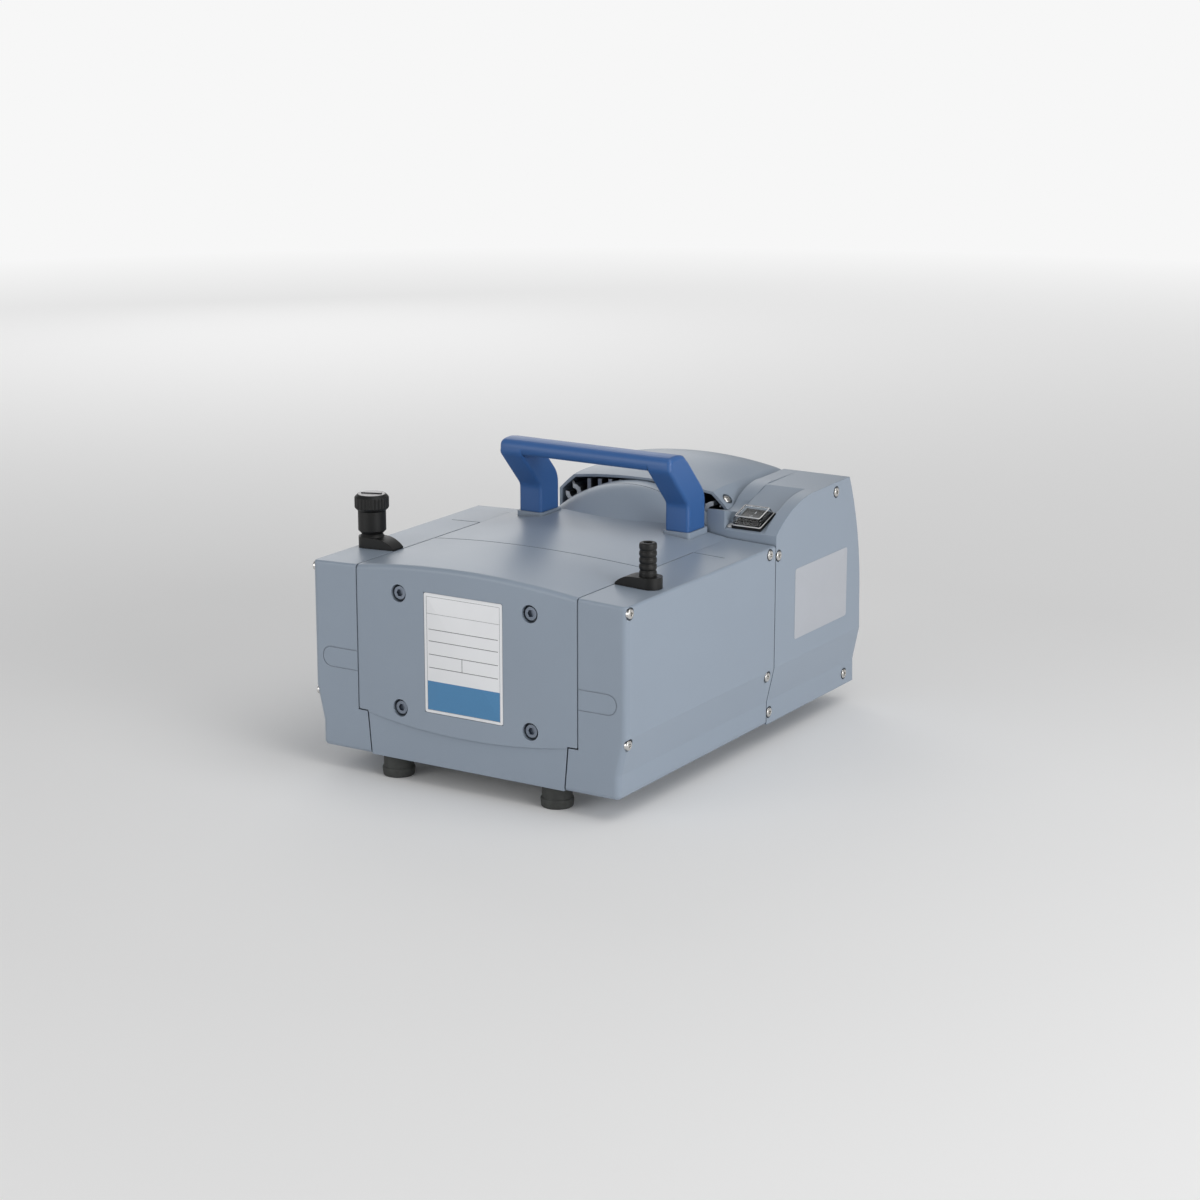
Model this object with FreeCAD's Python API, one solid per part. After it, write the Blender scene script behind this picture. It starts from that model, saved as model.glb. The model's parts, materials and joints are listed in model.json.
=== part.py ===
import FreeCAD, Part
import math
import os

# Diaphragm vacuum pump with four heads, millimetres.
# The front faces -Y, the electrical box is at +X, and the feet stand on z = 0.

V = FreeCAD.Vector
AXES = {"x": V(1, 0, 0), "y": V(0, 1, 0), "z": V(0, 0, 1)}

# Clearances
seam_gap = 0.9
seat_gap = 0.3
running_fit = 0.05
hole_clearance = 0.25
part_gap = 2.0

# Housing
half_width = 119.5
side_step = 5.3
taper_low = 16.3
taper_high = 40.3
foot_height = 14.6
shoulder_height = 125.9
edge_drop = 1.3
crown_rise = 6.5
panel_half_width = 0.7 * half_width
panel_bulge = 2.4
cover_length = 190.9
wall = 3.0
front_edge_radius = 4.0
top_edge_radius = 1.8
bottom_edge_radius = 3.0
panel_edge_radius = 3.0
base_plate_thickness = 3.0

# Front panel outline
panel_step_height = 29.5
panel_foot_half_width = panel_half_width - 7.2
panel_foot_draft = 2.5
panel_arc_dip = 7.3
arc_seam_back = 77.3
arc_seam_bow = 8.0
arc_seam_half_chord = panel_half_width - 8.7
deck_step_back = 0.745 * cover_length
deck_step_reach = 24.0
groove_depth = 0.3
groove_width = 0.7
tab_height = 14.0
tab_length = 29.0
tab_bottom = 54.4
panel_screw_half_span = 49.9
panel_screw_low = 35.3
panel_screw_high = 111.6
panel_counterbore_radius = 5.8
panel_screw_sink = 1.2
panel_screw_head_radius = 4.3
panel_screw_head_height = 4.0
panel_screw_radius = 2.5
panel_screw_length = 13.0
plate_half_width = 30.0
plate_low = 36.0
plate_high = 115.4
plate_recess = 0.4

# Pan head screws of the covers
screw_head_radius = 3.3
screw_head_height = 2.2
screw_counterbore_radius = 4.1
screw_head_proud = 0.8
screw_shank_radius = 1.6
screw_length = 9.0
box_screw_front_height = 117.3
box_screw_top_height = 145.3
box_screw_top_back = 87.4
box_screw_rear_inset = 16.6

# Crank drive
crank_height = 62.4
shaft_radius = 9.0
throw = 3.0
eccentric_radius = 15.0
rod_ring_width = 9.5
rod_side_play = 0.5
rod_ring_wall = 8.0
rod_shank_half_height = 7.0
bearing_radius = 18.0
bearing_width = 9.0
weight_radius = 32.0
weight_thickness = 7.0

# Pump heads
head_length = 0.44 * cover_length
head_spacing = head_length + part_gap
head_height = 92.0
head_depth = 0.197 * half_width
head_front_inset = 6.3
head_offset = 10.0
crankcase_half_width = 0.485 * half_width
crankcase_bore = 40.0
crankcase_height = 90.0
crankcase_end_wall = 12.0
mouth_radius = 0.44 * head_length
diaphragm_radius = mouth_radius + 4.5
diaphragm_thickness = 2.5
clamp_radius = mouth_radius - 12.0
clamp_thickness = 4.0
support_thickness = 4.0
stud_radius = 5.0
valve_radius = 8.0
valve_thickness = 0.6
valve_spacing = 34.0
head_screw_radius = 3.5
head_screw_head_radius = 6.0
head_screw_head_height = 5.0
head_screw_margin = 8.0
head_screw_grip = 10.0
frame_plate_thickness = 4.0
frame_boss_radius = 7.0

# Ports on the deck
port_inset = 12.6
port_back = 49.3
nozzle_shift_in = 2.4
nozzle_shift_back = 1.0
port_base_radius = 7.8
port_base_shift = 1.7
port_base_height = 7.2
port_tail_back = 3.5
port_tail_taper = 0.5
port_tail_tip = 1.2
port_tail_start = 8.0
port_pipe_radius = 6.0
nozzle_radius = 5.6
nozzle_bore = 3.2
nozzle_length = 21.6
nozzle_barbs = 5
barb_depth = 0.7
barb_low = 0.08
barb_full = 0.26
barb_end = 0.8
valve_foot_radius = 8.2
valve_neck_radius = 6.9
valve_neck_height = 1.9
valve_flare_height = 2.5
valve_column_radius = 9.3
valve_column_height = 17.5
valve_stem_radius = 5.0
valve_stem_height = 7.0
cap_radius = 11.4
cap_height = 11.0
cap_foot_radius = 9.6
cap_foot_height = 1.8
cap_crown_radius = 7.9
cap_crown_height = 2.4
cap_ribs = 24
cap_rib_depth = 0.6
pointer_thickness = 2.2
pointer_height = 0.9
pointer_angle = 20.0
outlet_height = 88.0
outlet_collar_radius = 9.5
outlet_collar_length = 6.0

# Handle
handle_half_span = panel_half_width - 16.5
handle_leg_width = 18.0
handle_leg_depth = 23.0
handle_rear_gap = 2.1
handle_knee_height = 150.6
handle_lean = 24.6
handle_top = 186.9
handle_bar_depth = 20.0
handle_bar_height = 12.0
handle_knee_step = 6.0
handle_edge_radius = 2.5
handle_screw_grip = 10.0
handle_screw_head_height = 3.0
plinth_height = 3.0
plinth_border = 1.5

# Motor
dome_radius = 88.5
dome_length = 36.0
dome_wall = 3.0
shield_front_gap = 14.4
shield_rim = 13.0
shield_half_width = 64.0
motor_length = 76.0
stator_radius = 50.0
motor_wall = 5.0
stator_length = 50.0
winding_length = 11.0
winding_wall = 13.0
rotor_radius = 29.0
air_gap = 0.6
fin_pitch = 8.6
fin_thickness = 2.8
fin_clearance = 1.0
fin_count = 11
short_fin_height = 140.5
foot_fin_height = 6.5
hook_radius = 6.5
hook_bore = 3.3
hook_half_span = 56.0
hook_height = 136.0
rear_shield_thickness = 7.0
fan_gap = 3.0
fan_width = 11.0
fan_radius = 48.0
fan_hub_radius = 15.0
fan_blades = 7
fan_blade_thickness = 2.0
fan_blade_pitch = 35.0
fan_rear_gap = 5.2

# Rear hood
hood_half_width = 67.7
hood_wall = 2.3
hood_front_corner = 138.2
hood_front_shoulder = 149.1
hood_front_crown = 153.0
hood_shoulder_inset = 11.8
hood_rise = 5.8
hood_corner_rise = 3.5
hood_shoulder_rise = 3.0
hood_rear_drop = 8.0
hood_roll = 2.6
hood_chamfer_bulge = 0.3
hood_skirt_height = 112.0
hood_seat_lift = -0.5
grille_radius = 46.0
grille_slot = 4.4
grille_pitch = 9.2

# Electrical box
box_wall = 2.6
tray_thickness = 2.2
box_front_height = 131.2
box_top_height = 152.4
slope_length = 58.8
slope_rise = 20.2
band_width = 12.0
band_top_fall = 0.4
band_low_height = 138.0
band_low_length = 26.4
band_curve_length = 12.5
band_curve_rise = 5.3
band_sag = 0.9
box_rear_lean = 22.0
box_rear_inset = 2.5
box_rim_width = 9.5
box_rim_bulge = 6.0
cheek_reach = 1.6
cheek_front_height = 144.1
cheek_length = 26.0
cheek_corner = 2.5
capacitor_radius = 19.0
capacitor_length = 62.0
capacitor_height = 48.0

# Rocker switch
switch_width = 22.0
switch_length = 22.5
switch_margin = 3.8
switch_bezel = 2.0
switch_body_depth = 21.0
switch_border = 3.2
switch_clearance = 0.35
switch_back = 13.2
rocker_tilt = 10.0
rocker_depth = 8.0
rocker_crown = 2.4
rocker_pin_radius = 1.5
rocker_pin_length = 1.4
boot_height = 6.1
boot_wall = 0.8
boot_side_taper = 1.0
boot_end_taper = 3.2
boot_border = 0.4

# Mains inlet
inlet_width = 31.0
inlet_height = 25.0
inlet_flange = 3.0
inlet_body_depth = 20.0
inlet_border = 3.5
inlet_recess_depth = 15.0
inlet_pin = 2.0
inlet_pin_sink = 5.6
inlet_centre_height = 40.0
inlet_pad_wall = 4.0
inlet_sink = 5.0

# Feet
foot_radius = 9.8
foot_ring_radius = 10.8
foot_ring_height = 6.0
foot_ring_draft = 0.4
front_foot_half_span = 61.5
front_foot_back = 11.7
rear_foot_half_span = 56.0
rear_foot_inset = 22.0
mount_radius = 11.0
mount_half_span = crankcase_half_width - 18.0

# Heights
underside = foot_height
deck_edge = underside + shoulder_height - edge_drop
deck_seam = underside + shoulder_height
crown = deck_seam + crown_rise
crank_z = underside + crank_height
floor_top = underside + base_plate_thickness

# Lengths along Y, from the motor stack and the front cover
motor_stack = shield_front_gap + shield_rim + motor_length + rear_shield_thickness
rear_length = motor_stack + fan_gap + fan_width + fan_rear_gap + hood_wall
overall_length = panel_bulge + cover_length + rear_length
panel_front = -overall_length / 2
flange_front = panel_front + panel_bulge
cover_rear = flange_front + cover_length
rear_end = overall_length / 2
shield_y = cover_rear + shield_front_gap
motor_y = shield_y + shield_rim
rear_shield_y = motor_y + motor_length
fan_y = rear_shield_y + rear_shield_thickness + fan_gap
shaft_end = fan_y + fan_width + part_gap

# Head stations
front_station = flange_front + head_front_inset + head_length / 2
stations = {
    "front_right": (1, front_station, 1),
    "front_left": (-1, front_station + head_offset, 1),
    "rear_right": (1, front_station + head_spacing, -1),
    "rear_left": (-1, front_station + head_spacing + head_offset, -1),
}
crankcase_front = front_station - mouth_radius - part_gap
crankcase_rear = front_station + head_spacing + head_offset + mouth_radius + part_gap

# Width stack, from the crankcase face outwards
port_x = half_width - port_inset
port_y = flange_front + port_back
head_face = crankcase_half_width + diaphragm_thickness
head_back = head_face + head_depth
nozzle_x = port_x - nozzle_shift_in
nozzle_y = port_y + nozzle_shift_back
head_cover_face = nozzle_x - port_pipe_radius - seat_gap

# Curve radii worked out from chord and rise


def arc_radius(half_chord, rise):
    return (half_chord ** 2 + rise ** 2) / (2 * rise)


crown_radius = arc_radius(panel_half_width, crown_rise)
seam_radius = arc_radius(arc_seam_half_chord, arc_seam_bow)
seam_centre_y = flange_front + arc_seam_back + seam_radius


def crown_at(x):
    return crown - crown_radius + math.sqrt(crown_radius ** 2 - x ** 2)


def deck_at(x):
    return deck_seam - edge_drop * (x - panel_half_width) / (half_width - panel_half_width)


# Shape helpers


def point(axis, at, pair):
    first, second = pair
    if axis == "x":
        return V(at, first, second)
    if axis == "y":
        return V(first, at, second)
    return V(first, second, at)


def outline(axis, at, corners):
    """Closed wire across an axis: a pair is a corner, two pairs are an arc's middle and end."""
    start = point(axis, at, corners[0])
    here = start
    edges = []
    for corner in list(corners[1:]) + [corners[0]]:
        is_arc = isinstance(corner[0], tuple)
        end = point(axis, at, corner[1] if is_arc else corner)
        if is_arc:
            edges.append(Part.Arc(here, point(axis, at, corner[0]), end).toShape())
        elif end.distanceToPoint(here) > 1e-6:
            edges.append(Part.makeLine(here, end))
        here = end
    return Part.Wire(edges)


def prism(axis, low, high, corners):
    face = Part.Face(outline(axis, low, corners))
    return face.extrude(AXES[axis] * (high - low))


def block(x0, x1, y0, y1, z0, z1):
    return Part.makeBox(x1 - x0, y1 - y0, z1 - z0, V(x0, y0, z0))


def bar(axis, radius, low, high, centre):
    return Part.makeCylinder(radius, high - low, point(axis, low, centre), AXES[axis])


def ring(axis, outer, inner, low, high, centre):
    return bar(axis, outer, low, high, centre).cut(bar(axis, inner, low, high, centre))


def mirrored(shape):
    return shape.mirror(V(0, 0, 0), V(1, 0, 0))


def on_side(side, shape):
    return shape if side > 0 else mirrored(shape)


def edges_where(shape, test):
    return [edge for edge in shape.Edges if test(edge.BoundBox)]


def save(name, *shapes):
    solids = [solid for shape in shapes for solid in shape.Solids]
    part = solids[0] if len(solids) == 1 else Part.makeCompound(solids)
    part.exportStep(os.path.join("parts", name + ".step"))
    if not all(solid.isValid() for solid in solids):
        print("not valid:", name)
    print(name, len(solids), round(sum(solid.Volume for solid in solids)))


# Housing skin


def side_block(inset, front, rear):
    """Half of the lower body beside the panel, in the outline of the side wall."""
    outer = half_width - inset
    lower = half_width - side_step - inset
    low = underside + inset
    return prism("y", front, rear, [
        (panel_foot_half_width / 2, low),
        (lower, low),
        (lower, underside + taper_low),
        (outer, underside + taper_high),
        (outer, deck_edge - inset),
        (panel_half_width, deck_seam - inset),
        (panel_foot_half_width / 2, deck_seam - inset),
    ])


def rounded_side_block():
    body = side_block(0, flange_front, cover_rear)
    inner_limit = half_width - side_step - 1
    front = edges_where(body, lambda b: b.YLength < 1e-6 and b.XMin > inner_limit
                        and b.YMax < flange_front + 1 and b.ZLength > 5)
    body = body.makeFillet(front_edge_radius, front)
    top = edges_where(body, lambda b: b.YLength > 100 and b.XMin > half_width - 1e-3
                      and b.ZMin > deck_edge - 1)
    body = body.makeFillet(top_edge_radius, top)
    bottom = edges_where(body, lambda b: b.YLength > 100 and b.XMin > inner_limit
                         and b.ZMax < underside + 1)
    return body.makeFillet(bottom_edge_radius, bottom)


def cover_region(margin):
    """Everything outside the panel's side seam, with its step and its draft at the foot."""
    step = underside + panel_step_height - margin
    foot = panel_foot_half_width + margin
    low = foot - panel_foot_draft
    far = 2 * half_width
    return prism("y", 2 * panel_front, 2 * rear_end, [
        (panel_half_width + margin, 2 * crown),
        (panel_half_width + margin, step),
        (foot, step),
        (low, underside),
        (low, -far),
        (far, -far),
        (far, 2 * crown),
    ])


def tab_groove():
    """Thin groove around the oblong tab on the front flange."""
    def stadium(offset):
        low = underside + tab_bottom + offset
        high = underside + tab_bottom + tab_height - offset
        end = panel_half_width + tab_length - offset
        radius = (high - low) / 2
        return prism("y", flange_front - 1, flange_front + groove_depth, [
            (panel_half_width - part_gap, low),
            (end - radius, low),
            ((end, (low + high) / 2), (end - radius, high)),
            (panel_half_width - part_gap, high),
        ])
    return stadium(0).cut(stadium(groove_width))


def deck_groove():
    """Short step line across the deck, where the seam beside the crown ends."""
    y = flange_front + deck_step_back
    reach = panel_half_width + deck_step_reach
    return block(panel_half_width, reach, y, y + seam_gap, deck_at(reach) - groove_depth, crown)


def cover_screw_spots():
    high = deck_edge - screw_counterbore_radius - 0.4
    low = underside + taper_high - screw_counterbore_radius
    front = flange_front + screw_counterbore_radius + 0.1
    rear = cover_rear - screw_counterbore_radius - 3.4
    return [(front, high), (front, low), (rear, high), (rear, low)]


def box_screw_spots():
    front = cover_rear + seam_gap + screw_counterbore_radius - 1
    low = underside + taper_low / 2
    side = half_width
    return [
        (front + 0.5, underside + box_screw_front_height, side),
        (front, low, side - side_step),
        (rear_end - box_screw_rear_inset, low, side - side_step),
        (cover_rear + box_screw_top_back, underside + box_screw_top_height, side),
    ]


def side_wall_at(z):
    """Distance of the outer side wall from the centre plane at one height."""
    share = (z - underside - taper_low) / (taper_high - taper_low)
    return half_width - side_step * (1 - min(1, max(0, share)))


def pan_screw(x, y, z):
    """Pan head screw driven inwards along -X, seated in its counterbore."""
    seat = x - (screw_head_height - screw_head_proud)
    head = bar("x", screw_head_radius, seat, x + screw_head_proud, (y, z))
    rim = edges_where(head, lambda b: b.XMin > x + screw_head_proud - 1e-3 and b.YLength > 1)
    head = head.makeFillet(screw_head_height * 0.4, rim)
    socket = Part.makePolygon([
        V(x + screw_head_proud + 1,
          y + screw_head_radius * 0.45 * math.cos(math.pi / 3 * k),
          z + screw_head_radius * 0.45 * math.sin(math.pi / 3 * k)) for k in range(7)])
    pocket = Part.Face(socket).extrude(V(-1 - screw_head_height * 0.55, 0, 0))
    shank = bar("x", screw_shank_radius, seat - screw_length, seat, (y, z))
    return head.cut(pocket).fuse(shank)


def pan_screw_room(x, y, z):
    seat = x - (screw_head_height - screw_head_proud)
    shaft = bar("x", screw_shank_radius + hole_clearance, seat - 2 * screw_length, x, (y, z))
    return bar("x", screw_counterbore_radius, seat, x + 2, (y, z)).fuse(shaft)


def screw_boss(x, y, z):
    """Moulded boss behind the wall that takes the screw."""
    radius = screw_shank_radius + 2.4
    seat = x - (screw_head_height - screw_head_proud)
    depth = screw_length + 1
    return bar("x", radius, seat - depth, x - wall / 2, (y, z))


def side_cover(side):
    outer = rounded_side_block()
    cavity = side_block(wall, flange_front + wall, cover_rear - wall)
    shell = outer.cut(cavity).common(cover_region(seam_gap))
    for y, z in cover_screw_spots():
        x = side_wall_at(z)
        shell = shell.fuse(screw_boss(x, y, z).common(outer))
    for y, z in cover_screw_spots():
        x = side_wall_at(z)
        shell = shell.cut(pan_screw_room(x, y, z))
    shell = shell.cut(tab_groove()).cut(deck_groove())
    pipe = (nozzle_x, nozzle_y) if side > 0 else (port_x, port_y)
    shell = shell.cut(bar("z", port_pipe_radius + hole_clearance, crank_z, crown, pipe))
    shell = shell.common(cover_region(seam_gap)).fuse(rear_bulkhead())
    if side < 0:
        spot = (port_x, underside + outlet_height)
        shell = shell.cut(bar("y", port_pipe_radius + hole_clearance,
                              cover_rear - 2 * wall, cover_rear + wall, spot))
    return on_side(side, shell)


def rear_bulkhead():
    """Inward leg of the cover's rear wall, which closes the body beside the motor."""
    return block(hood_half_width + seam_gap, panel_half_width + 2 * seam_gap, cover_rear - wall,
                 cover_rear, floor_top, deck_seam - 3 * wall - seat_gap)


def seam_cylinder(offset):
    return bar("z", seam_radius + offset, -crown, 2 * crown, (0, seam_centre_y))


def crowned_block(inset, front, rear, width):
    edge = crown_at(width) - inset
    return prism("y", front, rear, [
        (-width, underside + inset),
        (-width, edge),
        ((0, crown - inset), (width, edge)),
        (width, underside + inset),
    ])


def bulged_block(inset, width):
    edge = flange_front + inset
    return prism("z", 0, 2 * crown, [
        (-width, cover_rear),
        (-width, edge),
        ((0, panel_front + inset), (width, edge)),
        (width, cover_rear),
    ])


def panel_window():
    """The part of the front that bulges: above an arc that dips towards the middle."""
    step = underside + panel_step_height
    return prism("y", 2 * panel_front, cover_rear, [
        (-panel_half_width, 2 * crown),
        (-panel_half_width, step),
        ((0, step - panel_arc_dip), (panel_half_width, step)),
        (panel_half_width, 2 * crown),
    ])


def front_cover():
    full = crowned_block(0, panel_front - 1, cover_rear, panel_half_width)
    bulged = bulged_block(0, panel_half_width).common(full)
    brow = edges_where(bulged, lambda b: b.XLength > panel_half_width
                       and b.ZMin > deck_seam - 1 and b.YMax < flange_front + 1)
    bulged = bulged.makeFillet(panel_edge_radius, brow)
    flat = full.common(block(-panel_half_width, panel_half_width, flange_front, cover_rear,
                             underside, underside + panel_step_height + 1))
    outer = bulged.common(panel_window()).fuse(flat)
    wide = half_width
    cavity = bulged_block(wall, wide).common(crowned_block(wall, flange_front, cover_rear, wide))
    behind_wall = flange_front + wall
    cavity = cavity.common(block(-wide, wide, behind_wall, cover_rear, 0, crown))
    cavity = cavity.fuse(block(-wide, wide, behind_wall, cover_rear, 0, crank_z))
    shell = outer.cut(cavity).cut(cover_region(0)).cut(mirrored(cover_region(0)))
    shell = shell.cut(seam_cylinder(0))
    for x in (-panel_screw_half_span, panel_screw_half_span):
        for height in (panel_screw_low, panel_screw_high):
            z = underside + height
            shell = shell.fuse(bar("y", frame_boss_radius, flange_front + wall / 2,
                                   frame_front(), (x, z)))
            shell = shell.cut(bar("y", panel_counterbore_radius, panel_front - 1,
                                  panel_screw_seat(), (x, z)))
            shell = shell.cut(bar("y", panel_screw_radius + hole_clearance, panel_front,
                                  cover_rear, (x, z)))
    plate = block(-plate_half_width, plate_half_width, panel_front - 1,
                  panel_front + plate_recess + 0.3, underside + plate_low, underside + plate_high)
    return shell.cut(plate).removeSplitter()


def frame_front():
    """Plane where the panel's bosses meet the front plate of the crankcase."""
    return crankcase_front - frame_plate_thickness


def panel_screw_seat():
    """Plane under the heads of the panel screws, which lie a little below the face."""
    return flange_front - panel_bulge / 2 + panel_screw_sink + panel_screw_head_height


def front_cover_screws():
    screws = []
    seat = panel_screw_seat()
    for x in (-panel_screw_half_span, panel_screw_half_span):
        for height in (panel_screw_low, panel_screw_high):
            z = underside + height
            head = bar("y", panel_screw_head_radius, seat - panel_screw_head_height, seat, (x, z))
            reach = panel_screw_head_radius * 0.58
            socket = Part.makePolygon([
                V(x + reach * math.cos(math.pi / 3 * k), seat - panel_screw_head_height - 1,
                  z + reach * math.sin(math.pi / 3 * k)) for k in range(7)])
            pocket = Part.Face(socket).extrude(V(0, 1 + panel_screw_head_height * 0.6, 0))
            shank = bar("y", panel_screw_radius, seat, seat + panel_screw_length, (x, z))
            screws.append(head.cut(pocket).fuse(shank))
    return screws


def dome_profile(offset):
    """Outline of the dome about the crank axis: it swells from the deck towards the motor."""
    rear = shield_y - seam_gap
    start = rear - dome_length
    low = crown - crank_z - wall - offset
    rise = dome_radius - offset - low
    points = [V(0, start + dome_length * u, crank_z + low + rise * (3 * u ** 2 - 2 * u ** 3))
              for u in (0, 0.2, 0.4, 0.6, 0.8, 1.0)]
    curve = Part.BSplineCurve()
    curve.interpolate(points)
    inner_end = V(0, rear, crank_z)
    inner_start = V(0, start, crank_z)
    edges = [
        curve.toShape(),
        Part.makeLine(points[-1], inner_end),
        Part.makeLine(inner_end, inner_start),
        Part.makeLine(inner_start, points[0]),
    ]
    return Part.Face(Part.Wire(edges))


def dome(offset):
    solid = dome_profile(offset).revolve(V(0, 0, crank_z), V(0, 1, 0), 360)
    return solid.common(block(-shield_half_width, shield_half_width, flange_front, rear_end,
                              crank_z, 2 * crown))


def top_housing():
    seam = seam_cylinder(-seam_gap)
    step_y = flange_front + deck_step_back
    narrow = crowned_block(0, flange_front, cover_rear, panel_half_width)
    wide_strip = prism("y", step_y, cover_rear, [
        (-panel_half_width - seam_gap, deck_seam - wall),
        (-panel_half_width - seam_gap, deck_seam),
        (panel_half_width + seam_gap, deck_seam),
        (panel_half_width + seam_gap, deck_seam - wall),
    ])
    cavity = crowned_block(wall, flange_front - 1, cover_rear - wall, panel_half_width - wall)
    shell = narrow.fuse(wide_strip).fuse(dome(0)).cut(cavity).cut(dome(dome_wall))
    shell = shell.cut(block(-half_width, half_width, flange_front, rear_end, 0,
                            deck_seam - 3 * wall))
    shell = shell.common(seam.fuse(block(-half_width, half_width, 0, rear_end, 0, 2 * crown)))
    for side in (-1, 1):
        shell = shell.fuse(handle_plinth(side))
        for y in plinth_screws():
            spot = (side * handle_centre_x(), y)
            shell = shell.cut(bar("z", panel_screw_radius + hole_clearance, 0, 2 * crown, spot))
    for x, y in deck_posts():
        floor = crankcase_top()
        post = bar("z", frame_boss_radius, floor, crown_at(x) - wall / 2, (x, y))
        shell = shell.fuse(post)
    return shell.removeSplitter()


def crankcase_top():
    return crank_z + crankcase_height / 2


def deck_posts():
    x = crankcase_half_width / 2 + frame_boss_radius / 2
    rear = crankcase_rear - 2 * frame_boss_radius - part_gap
    front = seam_centre_y - seam_radius + 3 * frame_boss_radius
    return [(sign * x, y) for sign in (-1, 1) for y in (front, (front + rear) / 2 - frame_boss_radius)]


# Handle


def handle_centre_x():
    return handle_half_span - handle_leg_width / 2


def handle_y():
    return cover_rear - handle_rear_gap - handle_leg_depth


def handle_foot_z():
    return crown_at(handle_centre_x()) + plinth_height


def plinth_screws():
    y = handle_y()
    return [y + handle_leg_depth * 0.28, y + handle_leg_depth * 0.72]


def handle_plinth(side):
    x0 = handle_half_span - handle_leg_width - plinth_border
    x1 = handle_half_span + plinth_border
    y0 = handle_y() - plinth_border
    y1 = handle_y() + handle_leg_depth + plinth_border
    pad = block(x0, x1, y0, y1, crown_at(x1) - wall, handle_foot_z())
    uprights = edges_where(pad, lambda b: b.ZLength > 1 and b.XLength + b.YLength < 1e-6)
    return on_side(side, pad.makeFillet(plinth_border * 1.5, uprights))


def handle_bar():
    """Grip with a rounded section, drawn along X from end to end."""
    top = underside + handle_top
    low = top - handle_bar_height
    front = handle_y() - handle_lean
    rear = front + handle_bar_depth
    grip = block(-handle_half_span, handle_half_span, front, rear, low, top)
    long_edges = edges_where(grip, lambda b: b.XLength > 10)
    return grip.makeFillet(handle_bar_height * 0.42, long_edges)


def handle_leg(side):
    """Upright foot that leans forward from the knee up to the grip."""
    x0 = handle_half_span - handle_leg_width
    y = handle_y()
    knee = underside + handle_knee_height
    top = underside + handle_top
    low = top - handle_bar_height
    front = y - handle_lean
    rear = front + handle_bar_depth
    leg = prism("x", x0, handle_half_span, [
        (y, handle_foot_z()),
        (y, knee),
        (front + handle_bar_height * 0.15, low + handle_bar_height * 0.3),
        (front + handle_bar_height * 0.5, top - handle_bar_height * 0.3),
        (rear - handle_bar_height * 0.45, top - handle_bar_height * 0.1),
        (y + handle_leg_depth, knee + handle_knee_step),
        (y + handle_leg_depth, handle_foot_z()),
    ])
    corners = edges_where(leg, lambda b: b.XLength < 1e-6 and b.ZLength > 8)
    leg = leg.makeFillet(handle_edge_radius, corners)
    return on_side(side, leg)


def handle():
    frame = handle_bar().fuse([handle_leg(1), handle_leg(-1)])
    for side in (-1, 1):
        for y in plinth_screws():
            spot = (side * handle_centre_x(), y)
            depth = handle_foot_z() + handle_screw_grip + part_gap
            frame = frame.cut(bar("z", panel_screw_radius, 0, depth, spot))
    return frame.removeSplitter()


def handle_screws():
    """Screws driven up from under the deck into the legs."""
    screws = []
    for side in (-1, 1):
        for y in plinth_screws():
            x = side * handle_centre_x()
            seat = crown_at(handle_half_span + plinth_border) - wall
            head = bar("z", panel_screw_head_radius, seat - handle_screw_head_height,
                       seat, (x, y))
            tip = handle_foot_z() + handle_screw_grip
            shank = bar("z", panel_screw_radius - running_fit, seat, tip, (x, y))
            screws.append(head.fuse(shank))
    return screws


# Base


def base_plate():
    """Flat plate between the lower flanges of the covers, with a narrower tail for the motor."""
    front_width = panel_foot_half_width - panel_foot_draft
    rear_width = hood_half_width - hood_wall - seat_gap
    front = flange_front + wall + seat_gap
    rear = rear_end - hood_wall - seat_gap
    step = cover_rear
    return prism("z", underside, floor_top, [
        (-front_width, front),
        (front_width, front),
        (front_width, step),
        (rear_width, step),
        (rear_width, rear),
        (-rear_width, rear),
        (-rear_width, step),
        (-front_width, step),
    ])


def foot_spots():
    front = flange_front + front_foot_back
    rear = rear_end - rear_foot_inset
    return [(-front_foot_half_span, front), (front_foot_half_span, front),
            (-rear_foot_half_span, rear), (rear_foot_half_span, rear)]


def rubber_feet():
    feet = []
    for x, y in foot_spots():
        stem = bar("z", foot_radius, foot_ring_height, underside, (x, y))
        sole = foot_ring_radius - foot_ring_draft
        pad = Part.makeCone(sole, foot_ring_radius, foot_ring_height, V(x, y, 0))
        feet.append(pad.fuse(stem))
    return feet


def mount_spots():
    front = crankcase_front + mount_radius + part_gap
    rear = crankcase_rear - mount_radius - part_gap
    return [(sign * mount_half_span, y) for sign in (-1, 1) for y in (front, rear)]


def vibration_mounts():
    floor = crank_z - crankcase_height / 2
    return [bar("z", mount_radius, floor_top, floor, spot) for spot in mount_spots()]


# Pump block


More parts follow.
